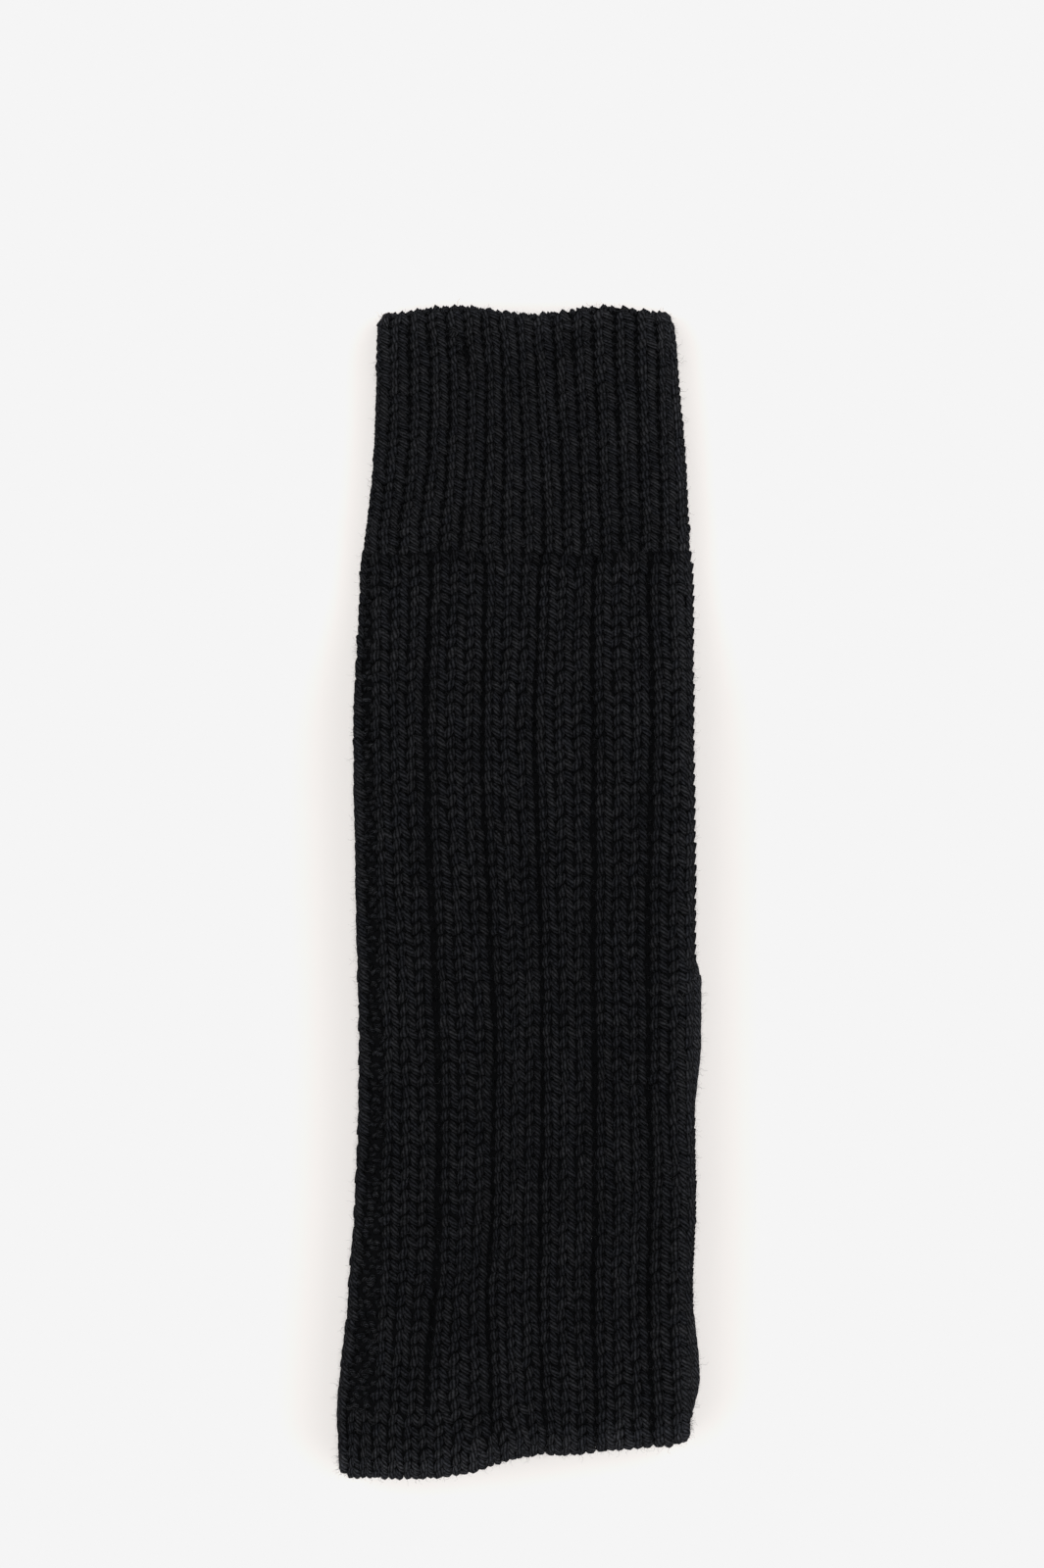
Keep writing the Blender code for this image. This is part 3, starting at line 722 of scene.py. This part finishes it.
# Rings of a yarn shape: place along, across and out, radius, and the painted shading of the yarn there:
# painted shade where it dives under its neighbours, a little painted light on its crest
YarnRing = namedtuple("YarnRing", "along across out radius shade")
ARM = [
    YarnRing(-0.14, -0.180, -0.56, 0.56, 0.30),
    YarnRing(0.02, -0.145, -0.02, 0.92, 0.86),
    YarnRing(0.30, -0.065, 0.22, 1.06, 1.14),
    YarnRing(0.62, 0.045, 0.10, 1.04, 1.10),
    YarnRing(0.88, 0.135, -0.42, 0.84, 0.62),
    YarnRing(1.10, 0.190, -1.06, 0.50, 0.14),
]
CUFF_ARM = [
    YarnRing(-0.20, -0.195, -0.56, 0.58, 0.28),
    YarnRing(-0.02, -0.150, -0.02, 0.92, 0.84),
    YarnRing(0.30, -0.065, 0.22, 1.04, 1.13),
    YarnRing(0.62, 0.045, 0.10, 1.04, 1.10),
    YarnRing(0.92, 0.140, -0.38, 0.86, 0.62),
    YarnRing(1.16, 0.200, -1.00, 0.54, 0.16),
]
PLAIN_ARM = [
    YarnRing(-0.14, -0.090, -0.06, 0.92, 0.72),
    YarnRing(0.12, -0.050, 0.04, 1.00, 1.00),
    YarnRing(0.70, 0.040, 0.02, 1.00, 1.00),
    YarnRing(1.08, 0.090, -0.12, 0.90, 0.66),
]
PURL_BUMP = [
    YarnRing(0.70, -0.42, -0.70, 0.40, 0.14),
    YarnRing(0.48, -0.23, -0.10, 0.62, 0.70),
    YarnRing(0.42, 0.00, 0.08, 0.70, 0.92),
    YarnRing(0.48, 0.23, -0.10, 0.62, 0.70),
    YarnRing(0.70, 0.42, -0.70, 0.40, 0.14),
]
# Bumps under the crumpled ones lie lower, with a little more painted shade
PURL_UNDER_BUMP = [ring._replace(shade=0.90 * ring.shade, out=ring.out - 0.12) for ring in PURL_BUMP]
# Purl bumps in a groove sink and get half the painted shading, as painted shade in the groove
PURL_IN_GROOVE = [ring._replace(shade=0.5 * ring.shade, out=ring.out - 0.2) for ring in PURL_BUMP]
EDGE_LOOP = [
    YarnRing(0.50, -0.27, -0.30, 0.60, 0.60),
    YarnRing(0.08, -0.24, 0.00, 0.98, 1.00),
    YarnRing(-0.26, 0.00, -0.05, 1.08, 1.00),
    YarnRing(0.08, 0.24, 0.00, 0.98, 1.00),
    YarnRing(0.50, 0.27, -0.30, 0.60, 0.60),
]
FULL_YARN, BUMP_YARN, HIDDEN_YARN = 7, 6, 5  # corners round the yarn, fewer where less of it shows


def mesh_of(name, points, faces):
    """A mesh of points in millimetres."""
    mesh = bpy.data.meshes.new(name)
    mesh.from_pydata((np.asarray(points) * MM).tolist(), [], faces)
    return mesh


def in_scene(name, data):
    """A new object in the scene."""
    made = bpy.data.objects.new(name, data)
    bpy.context.scene.collection.objects.link(made)
    return made


def quads(first, second, corners):
    """Faces between two rings of points, given by the rings' order."""
    low, high = first * corners, second * corners
    return [(low + j, low + (j + 1) % corners, high + (j + 1) % corners, high + j) for j in range(corners)]


def caps(first, last, corners):
    """Faces that close the first and the last ring of a tube."""
    return [tuple(reversed(range(first * corners, (first + 1) * corners))),
            tuple(range(last * corners, (last + 1) * corners))]


def tube_faces(rings, corners):
    """Faces of a closed tube."""
    sides = [face for i in range(rings - 1) for face in quads(i, i + 1, corners)]
    return sides + caps(0, rings - 1, corners)


def yarn_mesh(name, rings, side, corners):
    """A short closed length of yarn through the rings, with a UV map that runs along and round it."""
    centre = np.array([[side * r.across * WALE, -r.along * ROW, r.out] for r in rings])
    tangent = unit(np.gradient(centre, axis=0))
    beside = unit(np.cross(tangent, np.array([0.0, 0.0, 1.0])))
    above = np.cross(beside, tangent)
    angles = np.linspace(0, 2 * math.pi, corners, endpoint=False) + math.pi / 2
    points = []
    for c, b, a, ring in zip(centre, beside, above, rings):
        for angle in angles:
            points.append(c + ring.radius * (b * math.cos(angle) + a * math.sin(angle)))
    mesh = mesh_of(name, points, tube_faces(len(rings), corners))
    # Painted shading of each ring, which darkens or lightens the wool's colour
    shade = mesh.attributes.new("shade", "FLOAT", "POINT")
    shade.data.foreach_set("value", np.repeat([ring.shade for ring in rings], corners).astype(np.float32))
    lengths = np.concatenate([[0.0], np.cumsum(np.linalg.norm(np.diff(centre, axis=0), axis=1))])
    uv = mesh.uv_layers.new(name="yarn")
    for face in mesh.polygons:
        wraps = any(mesh.loops[i].vertex_index % corners == corners - 1 for i in face.loop_indices)
        for i in face.loop_indices:
            ring, corner = divmod(mesh.loops[i].vertex_index, corners)
            turn = corner / corners
            if wraps and corner == 0 and len(face.loop_indices) == 4:
                turn = 1.0
            uv.data[i].uv = (lengths[ring] / UV_LENGTH, turn)
    mesh.shade_smooth()
    return bpy.data.objects.new(name, mesh)


def stitch_shapes():
    """The yarn shapes, in the order of SHAPES, in a collection of their own outside the scene."""
    collection = bpy.data.collections.new("yarn_shapes")
    arms = [(rings, side, corners)
            for rings, corners in ((ARM, FULL_YARN), (PLAIN_ARM, HIDDEN_YARN), (CUFF_ARM, FULL_YARN))
            for side in (-1, 1)]
    others = [(PURL_BUMP, 1, BUMP_YARN), (PURL_UNDER_BUMP, 1, BUMP_YARN),
              (PURL_IN_GROOVE, 1, HIDDEN_YARN), (EDGE_LOOP, 1, FULL_YARN)]
    for order, (name, (rings, side, corners)) in enumerate(zip(SHAPES, arms + others)):
        collection.objects.link(yarn_mesh(f"{order}_{name}", rings, side, corners))
    return collection


# Loose fibres that stand out of the wool: how tall, how far they lean, and how they curl

Fibre = namedtuple("Fibre", "height lean curl turns")
FIBRES = [
    Fibre(2.3, 0.8, 0.35, 1.2),
    Fibre(1.6, 1.3, 0.30, 0.8),
    Fibre(2.9, 0.2, 0.45, 1.6),
    Fibre(1.3, -0.8, 0.25, 0.9),
    Fibre(0.9, 1.7, 0.30, 1.1),
]
FIBRE_RADIUS = 0.034
FIBRE_THINNING = 0.6  # share of its radius that a fibre loses towards its tip
FIBRE_ROOT = 0.4  # how deep it stands in the wool
FIBRE_STEPS = 5
FIBRE_CORNERS = 3


def fibre_shapes():
    """One thin fibre for each row of FIBRES, in a collection of their own."""
    collection = bpy.data.collections.new("fibre_shapes")
    for order, fibre in enumerate(FIBRES):
        points = []
        for t in np.linspace(0, 1, FIBRE_STEPS):
            turn = 2 * math.pi * fibre.turns * t
            centre = np.array([fibre.lean * t * t + fibre.curl * t * math.sin(turn),
                               fibre.curl * t * (1 - math.cos(turn)), fibre.height * t - FIBRE_ROOT])
            radius = FIBRE_RADIUS * (1 - FIBRE_THINNING * t)
            for corner in range(FIBRE_CORNERS):
                angle = 2 * math.pi * corner / FIBRE_CORNERS
                points.append(centre + radius * np.array([math.cos(angle), math.sin(angle), 0.0]))
        mesh = mesh_of(f"{order}_fibre", points, tube_faces(FIBRE_STEPS, FIBRE_CORNERS))
        mesh.shade_smooth()
        collection.objects.link(bpy.data.objects.new(mesh.name, mesh))
    return collection


# Where fibres stand: a chance at each of these places, which is highest at the outline
FUZZ_START, FUZZ_END = 0.3, 1.0  # from the cuff's edge and from the toe
FUZZ_ROW, FUZZ_PLACES = 2.0, 360  # distance between rows, and places in a row
FUZZ_DENSITY = (0.40, 0.75)  # chance at the outline of the lower and of the upper sock
FUZZ_FADE = 1.8  # distance inwards from the outline over which it fades
FACE_FUZZ = 0.05  # the rest are shares of the chance at the outline
EDGE_FUZZ, EDGE_FUZZ_END = 0.9, 1.5  # more at the cuff's edge
FOLD_FUZZ, FOLD_END_FUZZ, FOLD_FUZZ_SHARE = 0.45, 0.3, 0.35  # more at the fold
FUZZ_SINK = 0.35  # from the skin
FUZZ_LEAN, FUZZ_TURN = 0.55, 1.5  # spread of the directions that they stand and face in
FUZZ_SIZES = (0.6, 1.25)
DOWNWARDS, FLOOR_REACH = -0.2, 3.0  # none stand this far downwards this near to the floor


def fibre_spots(sock, seed):
    """Where loose fibres stand: thick at the outline, the cuff's edge and the fold, sparse on the face."""
    rng = np.random.default_rng(seed)
    rows = []
    ribs = np.linspace(0, RIBS_AROUND, FUZZ_PLACES, endpoint=False)
    for run in np.arange(FUZZ_START, TOE_RUN - FUZZ_END, FUZZ_ROW):
        section = Section(sock, run)
        here, out, aim, flat = frames(sock, run, ribs, FUZZ_SINK)
        weight = np.exp(-section.inward(flat) / FUZZ_FADE) + FACE_FUZZ
        if run < EDGE_FUZZ_END:
            weight = weight + EDGE_FUZZ
        if LEG_RUN < run < LEG_RUN + FOLD_RUN:
            end = smooth(LEG_RUN, LEG_RUN + FOLD_RUN * FOLD_FUZZ_SHARE, run)
            weight = weight + FOLD_FUZZ + FOLD_END_FUZZ * end
        weight = weight * (shown(sock, section, flat) > 0)
        clear_of_floor = (out[:, 2] > DOWNWARDS) | (here[:, 2] > FLOOR_REACH)
        weight = weight * clear_of_floor
        chosen = rng.random(len(ribs)) < weight * FUZZ_DENSITY[sock.level]
        rows.append((here[chosen], out[chosen], aim[chosen]))
    places, outs, aims = (np.concatenate(parts) for parts in zip(*rows))
    places = places + aims * rng.uniform(-FUZZ_ROW / 2, FUZZ_ROW / 2, (len(places), 1))
    outs = outs + rng.normal(0, FUZZ_LEAN, outs.shape)
    aims = aims + rng.normal(0, FUZZ_TURN, aims.shape)
    sizes = np.repeat(rng.uniform(*FUZZ_SIZES, (len(places), 1)), 3, axis=1)
    return places, outs, aims, sizes, rng.integers(0, len(FIBRES), len(places)), np.zeros(len(places))


# Geometry Nodes that lay the yarn and the fibres

# How unevenly they are laid, each as its lowest and highest: turn in radians, shift in metres and growth
UNEVEN_TURN = ((-0.13, -0.13, -0.18), (0.13, 0.13, 0.18))
UNEVEN_SHIFT = ((-0.00022, -0.00022, -0.00022), (0.00022, 0.00022, 0.000088))
UNEVEN_GROWTH = ((-0.14, -0.08, -0.10), (0.08, 0.06, 0.06))


def fill(tree, node, inputs):
    """Fills some of a node's inputs: a socket is linked and a value is set."""
    for name, value in inputs.items():
        if isinstance(value, bpy.types.NodeSocket):
            tree.links.new(value, node.inputs[name])
        else:
            node.inputs[name].default_value = value


def node_of(tree, kind, inputs, **settings):
    """A new node with some of its settings and inputs filled."""
    node = tree.nodes.new(kind)
    for name, value in settings.items():
        setattr(node, name, value)
    fill(tree, node, inputs)
    return node


def attribute_of(tree, name, kind):
    """An attribute of the points that the shapes stand on."""
    node = node_of(tree, "GeometryNodeInputNamedAttribute", {"Name": name}, data_type=kind)
    return node.outputs["Attribute"]


def knitting_tree():
    """Lays a yarn shape on every point, aimed and sized by the point's attributes, a little uneven."""
    tree = bpy.data.node_groups.new("knitting", "GeometryNodeTree")
    for name, kind in (("Geometry", "Geometry"), ("Yarn shapes", "Collection"), ("Unevenness", "Float"),
                       ("Seed", "Int"), ("Wool", "Material")):
        tree.interface.new_socket(name, in_out="INPUT", socket_type=f"NodeSocket{kind}")
    tree.interface.new_socket("Geometry", in_out="OUTPUT", socket_type="NodeSocketGeometry")
    given = tree.nodes.new("NodeGroupInput").outputs

    def uneven(low_high, offset):
        """A random vector for each stitch, between low and high times the unevenness."""
        low, high = low_high
        seed = node_of(tree, "ShaderNodeMath", {0: given["Seed"], 1: offset}, operation="ADD")
        draw = node_of(tree, "FunctionNodeRandomValue", {"Min": low, "Max": high, "Seed": seed.outputs[0]},
                       data_type="FLOAT_VECTOR")
        scaled = node_of(tree, "ShaderNodeVectorMath",
                         {0: draw.outputs["Value"], "Scale": given["Unevenness"]}, operation="SCALE")
        return scaled.outputs["Vector"]

    shapes = node_of(tree, "GeometryNodeCollectionInfo", {
        "Collection": given["Yarn shapes"],
        "Separate Children": True,
        "Reset Children": True,
    })
    aim = node_of(tree, "FunctionNodeAxesToRotation", {
        "Primary Axis": attribute_of(tree, "out_of_cloth", "FLOAT_VECTOR"),
        "Secondary Axis": attribute_of(tree, "to_cuff", "FLOAT_VECTOR"),
    }, primary_axis="Z", secondary_axis="Y")
    laid = node_of(tree, "GeometryNodeInstanceOnPoints", {
        "Points": given["Geometry"],
        "Instance": shapes.outputs["Instances"],
        "Pick Instance": True,
        "Instance Index": attribute_of(tree, "shape", "INT"),
        "Rotation": aim.outputs["Rotation"],
        "Scale": attribute_of(tree, "size", "FLOAT_VECTOR"),
    })
    turned = node_of(tree, "GeometryNodeRotateInstances", {
        "Instances": laid.outputs["Instances"],
        "Rotation": uneven(UNEVEN_TURN, 0),
    })
    moved = node_of(tree, "GeometryNodeTranslateInstances", {
        "Instances": turned.outputs["Instances"],
        "Translation": uneven(UNEVEN_SHIFT, 1),
    })
    growth = node_of(tree, "ShaderNodeVectorMath", {0: uneven(UNEVEN_GROWTH, 2), 1: (1.0, 1.0, 1.0)},
                     operation="ADD")
    grown = node_of(tree, "GeometryNodeScaleInstances", {
        "Instances": moved.outputs["Instances"],
        "Scale": growth.outputs["Vector"],
    })
    tint = node_of(tree, "FunctionNodeRandomValue", {"Seed": given["Seed"]}, data_type="FLOAT")
    kept = node_of(tree, "GeometryNodeStoreNamedAttribute", {
        "Geometry": grown.outputs["Instances"],
        "Name": "tint",
        "Value": tint.outputs[1],
    }, domain="INSTANCE", data_type="FLOAT")
    real = node_of(tree, "GeometryNodeRealizeInstances", {"Geometry": kept.outputs["Geometry"]})
    painted = node_of(tree, "GeometryNodeSetMaterial", {
        "Geometry": real.outputs["Geometry"],
        "Material": given["Wool"],
    })
    node_of(tree, "NodeGroupOutput", {"Geometry": painted.outputs["Geometry"]})
    return tree


def run_tree(name, source, tree, settings):
    """Evaluates a Geometry Nodes tree on a mesh and returns the result as a plain mesh object.

    What would go through the surface under the socks is pressed flat on it.
    """
    holder = in_scene(f"{name}_source", source)
    modifier = holder.modifiers.new("nodes", "NODES")
    modifier.node_group = tree
    for item in tree.interface.items_tree:
        if item.item_type == "SOCKET" and item.in_out == "INPUT" and item.name in settings:
            modifier[item.identifier] = settings[item.name]
    evaluated = holder.evaluated_get(bpy.context.evaluated_depsgraph_get())
    mesh = bpy.data.meshes.new_from_object(evaluated)
    mesh.name = name
    points = np.empty(3 * len(mesh.vertices), np.float32)
    mesh.vertices.foreach_get("co", points)
    points[2::3] = np.maximum(points[2::3], 0.0)
    mesh.vertices.foreach_set("co", points)
    bpy.data.objects.remove(holder)
    return in_scene(name, mesh)


def knitted_piece(name, spots, shapes, tree, wool, seed):
    """Yarn or fibres at all these places, as one plain mesh object."""
    places, outs, aims, sizes, kinds, pale = spots
    points = mesh_of(f"{name}_spots", places, [])
    for label, kind, field, values in (
            ("out_of_cloth", "FLOAT_VECTOR", "vector", np.asarray(outs, np.float32)),
            ("to_cuff", "FLOAT_VECTOR", "vector", np.asarray(aims, np.float32)),
            ("size", "FLOAT_VECTOR", "vector", np.asarray(sizes, np.float32)),
            ("nap", "FLOAT", "value", np.asarray(pale, np.float32)),
            ("shape", "INT", "value", np.asarray(kinds, np.int32))):
        points.attributes.new(label, kind, "POINT").data.foreach_set(field, values.ravel())
    unevenness = RIM_UNEVENNESS if "_side_" in name else 1.0
    settings = {"Yarn shapes": shapes, "Unevenness": unevenness, "Seed": seed, "Wool": wool}
    return run_tree(name, points, tree, settings)


# The shell under the stitches

SHELL_POINTS = 9  # in each rib
SHELL_LEG_RUNS = [0, 1.2, 3, 6, 12, 20, 28, 36, 44, 52, 60, 64, 67, 70, 74,
                  *np.arange(80, 306, 6.0), 304, 308, 312]
SHELL_FOLD_STEPS = 9
SHELL_FOOT_RUNS = [6, 12, 20, 28, 38, 50, 70, 90, 100, 108, 116, 124, 132, 140, 150, 160, 170, 180, 190, 198,
                   205, 211, 216, 220, FOOT_LENGTH - 1.5]  # up from the fold
SLIT_RUNS = [285, 250, 200, 150, 124, 116, 110, 104, 98, 92, 86, 80, 74, 68, 54, 40, 20, 10, 5, 2, 0.4]


def shell_runs():
    """Where the rings of the shell's outside lie along the run."""
    fold = LEG_RUN + FOLD_RUN * np.linspace(0, 1, SHELL_FOLD_STEPS)
    foot = [LEG_RUN + FOLD_RUN + up for up in SHELL_FOOT_RUNS]
    return sorted({*SHELL_LEG_RUNS, *fold, *foot})


def slit_ring(sock, run, ribs):
    """A ring of the slit between the leg's walls."""
    section = Section(sock, run)
    opening = SLIT / 2 + SLIT_MOUTH * (1.0 - float(smooth(0, SLIT_MOUTH_LENGTH, run)))
    _, flat = section.points(ribs, SHELL_SINK)
    middle = (section.left + section.right) / 2
    reach = (section.right - section.left) / 2
    across = middle + (flat[:, 0] - middle) * (reach - SLIT_MARGIN) / reach
    return place(sock, run, across, np.clip(flat[:, 1], -opening, opening))


def shell_mesh(sock, material):
    """A closed thin shell: the skin sunk under the stitches, and the slit between the leg's walls."""
    count = RIBS_AROUND * SHELL_POINTS
    ribs = np.arange(count) / SHELL_POINTS
    outside = [Section(sock, run).points(ribs, SHELL_SINK)[0] for run in shell_runs()]
    inside = [slit_ring(sock, run, ribs) for run in SLIT_RUNS]
    toe, deepest, lip = len(outside) - 1, len(outside), len(outside) + len(inside) - 1
    joined = [(i, i + 1) for i in range(lip) if i != toe] + [(lip, 0)]
    faces = [face for first, second in joined for face in quads(first, second, count)]
    points = np.concatenate(outside + inside) - MIDDLE
    mesh = mesh_of(f"{sock.name}_shell", points, faces + caps(deepest, toe, count))
    mesh.materials.append(material)
    mesh.shade_smooth()
    return in_scene(mesh.name, mesh)


# Materials

# Wool yarn: its darkest and palest dye, the painted shade between its plies, and how its fibres and slow
# patches break up its tone
DARK_DYE, PALE_DYE = (0.0124, 0.0130, 0.0153, 1.0), (0.0168, 0.0171, 0.0188, 1.0)
PLIES = 6.0
PLY_TURN = 2.8  # plies passed in UV_LENGTH of yarn
# Painted shade between the plies: how much darker the yarn is there
PLY_SHADE = 0.86
PLY_BUMP = 0.00045  # in metres
FIBRE_GRAIN, FIBRE_SHADE, FIBRE_DARKEST = 1500.0, 0.72, 0.2
PATCH_GRAIN, PATCH_SHADE = 55.0, 0.35


def material_of(name, inputs):
    """A new material with some inputs of its main shader filled."""
    material = bpy.data.materials.new(name)
    material.use_nodes = True
    fill(material.node_tree, material.node_tree.nodes["Principled BSDF"], inputs)
    return material


def wool_material():
    """Near-black wool yarn: plies twisted round each length of yarn with painted shade between them, fine
    fibres and uneven dye, and the stitches' painted sheen, painted shade and tone.
    """
    material = material_of("black_wool_yarn", {
        "Roughness": 0.9,
        "Specular IOR Level": 0.0,
        "Sheen Weight": 0.012,
        "Sheen Roughness": 0.35,
        "Sheen Tint": (0.85, 0.86, 0.9, 1.0),
    })
    tree = material.node_tree

    def worked(operation, first, second=0.0):
        """A value worked out from one or two values or sockets."""
        return node_of(tree, "ShaderNodeMath", {0: first, 1: second}, operation=operation).outputs[0]

    def attribute(name):
        return node_of(tree, "ShaderNodeAttribute", {}, attribute_name=name).outputs["Fac"]

    def grain(inputs):
        """Noise in the piece's own space, from about -0.5 to 0.5."""
        place_of = tree.nodes.new("ShaderNodeTexCoord").outputs["Object"]
        noise = node_of(tree, "ShaderNodeTexNoise", {"Vector": place_of, **inputs})
        return worked("SUBTRACT", noise.outputs["Fac"], 0.5)

    dye = node_of(tree, "ShaderNodeMix", {0: attribute("tint"), 6: DARK_DYE, 7: PALE_DYE}, data_type="RGBA")
    yarn = tree.nodes.new("ShaderNodeUVMap")
    yarn.uv_map = "yarn"
    split = node_of(tree, "ShaderNodeSeparateXYZ", {"Vector": yarn.outputs["UV"]})
    phase = worked("SUBTRACT", worked("MULTIPLY", split.outputs["Y"], PLIES),
                   worked("MULTIPLY", split.outputs["X"], PLY_TURN))
    ridge = worked("SINE", worked("MULTIPLY", worked("FRACT", phase), math.pi))
    # Painted shade between the plies
    ply_painted_shade = worked("ADD", worked("MULTIPLY", ridge, PLY_SHADE), 1.0 - PLY_SHADE)
    in_fibre = worked("MULTIPLY", grain({"Scale": FIBRE_GRAIN, "Detail": 2.0}), 4 * FIBRE_SHADE)
    fibre_light = worked("MAXIMUM", worked("ADD", in_fibre, 1.0), FIBRE_DARKEST)
    in_patch = worked("MULTIPLY", grain({"Scale": PATCH_GRAIN}), PATCH_SHADE)
    # Painted sheen and shade of the stitches, with slow patches of tone
    painted_light_and_patches = worked("ADD", worked("ADD", attribute("nap"), in_patch), 1.0)
    light = worked("MULTIPLY", worked("MULTIPLY", ply_painted_shade, fibre_light), painted_light_and_patches)
    # Dye, darkened and paled by all of these and by the painted shading along the yarn
    colour = node_of(tree, "ShaderNodeVectorMath", {
        0: dye.outputs[2],
        "Scale": worked("MULTIPLY", light, attribute("shade")),
    }, operation="SCALE")
    bump = node_of(tree, "ShaderNodeBump", {"Strength": 0.8, "Distance": PLY_BUMP, "Height": ridge})
    fill(tree, tree.nodes["Principled BSDF"], {
        "Base Color": colour.outputs["Vector"],
        "Normal": bump.outputs["Normal"],
    })
    return material


def fibre_material():
    """Loose fibres, coloured paler than the yarn that they stand out of: a painted highlight of the light
    that they catch.
    """
    return material_of("loose_wool_fibre", {
        "Base Color": (0.055, 0.056, 0.062, 1.0),
        "Roughness": 0.7,
        "Specular IOR Level": 0.2,
    })


def shell_material():
    """The wool deep between the stitches, where little light comes: painted shade, darker than the yarn."""
    return material_of("wool_under_stitches", {
        "Base Color": (0.0038, 0.0039, 0.0043, 1.0),
        "Roughness": 1.0,
        "Specular IOR Level": 0.0,
    })


def floor_material():
    return material_of("pale_floor", {
        "Base Color": (0.915, 0.882, 0.858, 1.0),
        "Roughness": 0.9,
        "Specular IOR Level": 0.1,
    })


# The studio

FLOOR_HALF, FLOOR_SINK = 3000.0, 0.4

# Soft lights: name, strength, how wide they look in degrees, and how far they lean to the right
Lamp = namedtuple("Lamp", "name strength wide lean")
LAMPS = [
    Lamp("lamp_above", 2.0, 9, 0),
    Lamp("lamp_on_the_left", 1.0, 60, -36),
    Lamp("lamp_on_the_right", 1.0, 60, 36),
]
LAMP_TILT = -4  # of all of them, along the socks
SKY, SKY_COLOUR = 0.15, (1.0, 0.99, 0.98, 1.0)


def floor():
    corners = [(x * FLOOR_HALF, y * FLOOR_HALF, -FLOOR_SINK) for x, y in ((-1, -1), (1, -1), (1, 1), (-1, 1))]
    mesh = mesh_of("floor", corners, [(0, 1, 2, 3)])
    mesh.materials.append(floor_material())
    made = in_scene("floor", mesh)


def lights():
    world = bpy.context.scene.world or bpy.data.worlds.new("studio")
    bpy.context.scene.world = world
    world.use_nodes = True
    fill(world.node_tree, world.node_tree.nodes["Background"], {"Color": SKY_COLOUR, "Strength": SKY})
    for lamp in LAMPS:
        sun = bpy.data.lights.new(lamp.name, "SUN")
        sun.energy = lamp.strength
        sun.angle = math.radians(lamp.wide)
        in_scene(lamp.name, sun).rotation_euler = (math.radians(LAMP_TILT), math.radians(lamp.lean), 0)


def camera():
    """Looks straight down, so that the frame is FIELD_LENGTH of the plane of the upper leg long."""
    data = bpy.data.cameras.new("camera")
    data.sensor_fit = "VERTICAL"
    data.sensor_height = SENSOR
    leg_top = 4 * LAYER
    data.lens = SENSOR * (CAMERA_HEIGHT - leg_top) / FIELD_LENGTH
    data.clip_end = 20.0
    made = in_scene("camera", data)
    made.location = ((FIELD_CENTRE_X - MIDDLE[0]) * MM, (FIELD_CENTRE_Y - MIDDLE[1]) * MM, CAMERA_HEIGHT * MM)
    bpy.context.scene.camera = made


def print_tones():
    """The photo's own tones: whites that are printed a little under white."""
    view = bpy.context.scene.view_settings
    view.view_transform = "Standard"
    view.use_curve_mapping = True
    view.curve_mapping.extend = "HORIZONTAL"
    view.curve_mapping.curves[3].points[1].location = (1.0, PAPER_WHITE)
    view.curve_mapping.update()


FUZZ_SEED, FIBRE_SEED = 11, 20  # of the fibres' places and of their unevenness


def main():
    print_tones()
    camera()
    lights()
    floor()
    wool = wool_material()
    under = shell_material()
    loose = fibre_material()
    shapes = stitch_shapes()
    fibres = fibre_shapes()
    tree = knitting_tree()
    total = 0
    for sock in (UPPER, LOWER):
        shell = shell_mesh(sock, under)
        knits = []
        for seed, (region, spots) in enumerate(sorted(stitch_spots(sock).items())):
            knits.append(knitted_piece(f"{sock.name}_{region}_knit", spots, shapes, tree, wool, seed))
        spots = fibre_spots(sock, FUZZ_SEED + sock.level)
        knits.append(knitted_piece(f"{sock.name}_fuzz", spots, fibres, tree, loose, FIBRE_SEED))
        for piece in [shell] + knits:
            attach(piece, "root")
            triangles = sum(len(p.vertices) - 2 for p in piece.data.polygons)
            total += triangles
            print("piece", piece.name, triangles)
        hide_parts(sock.node)
    print("triangles in all", total)


main()
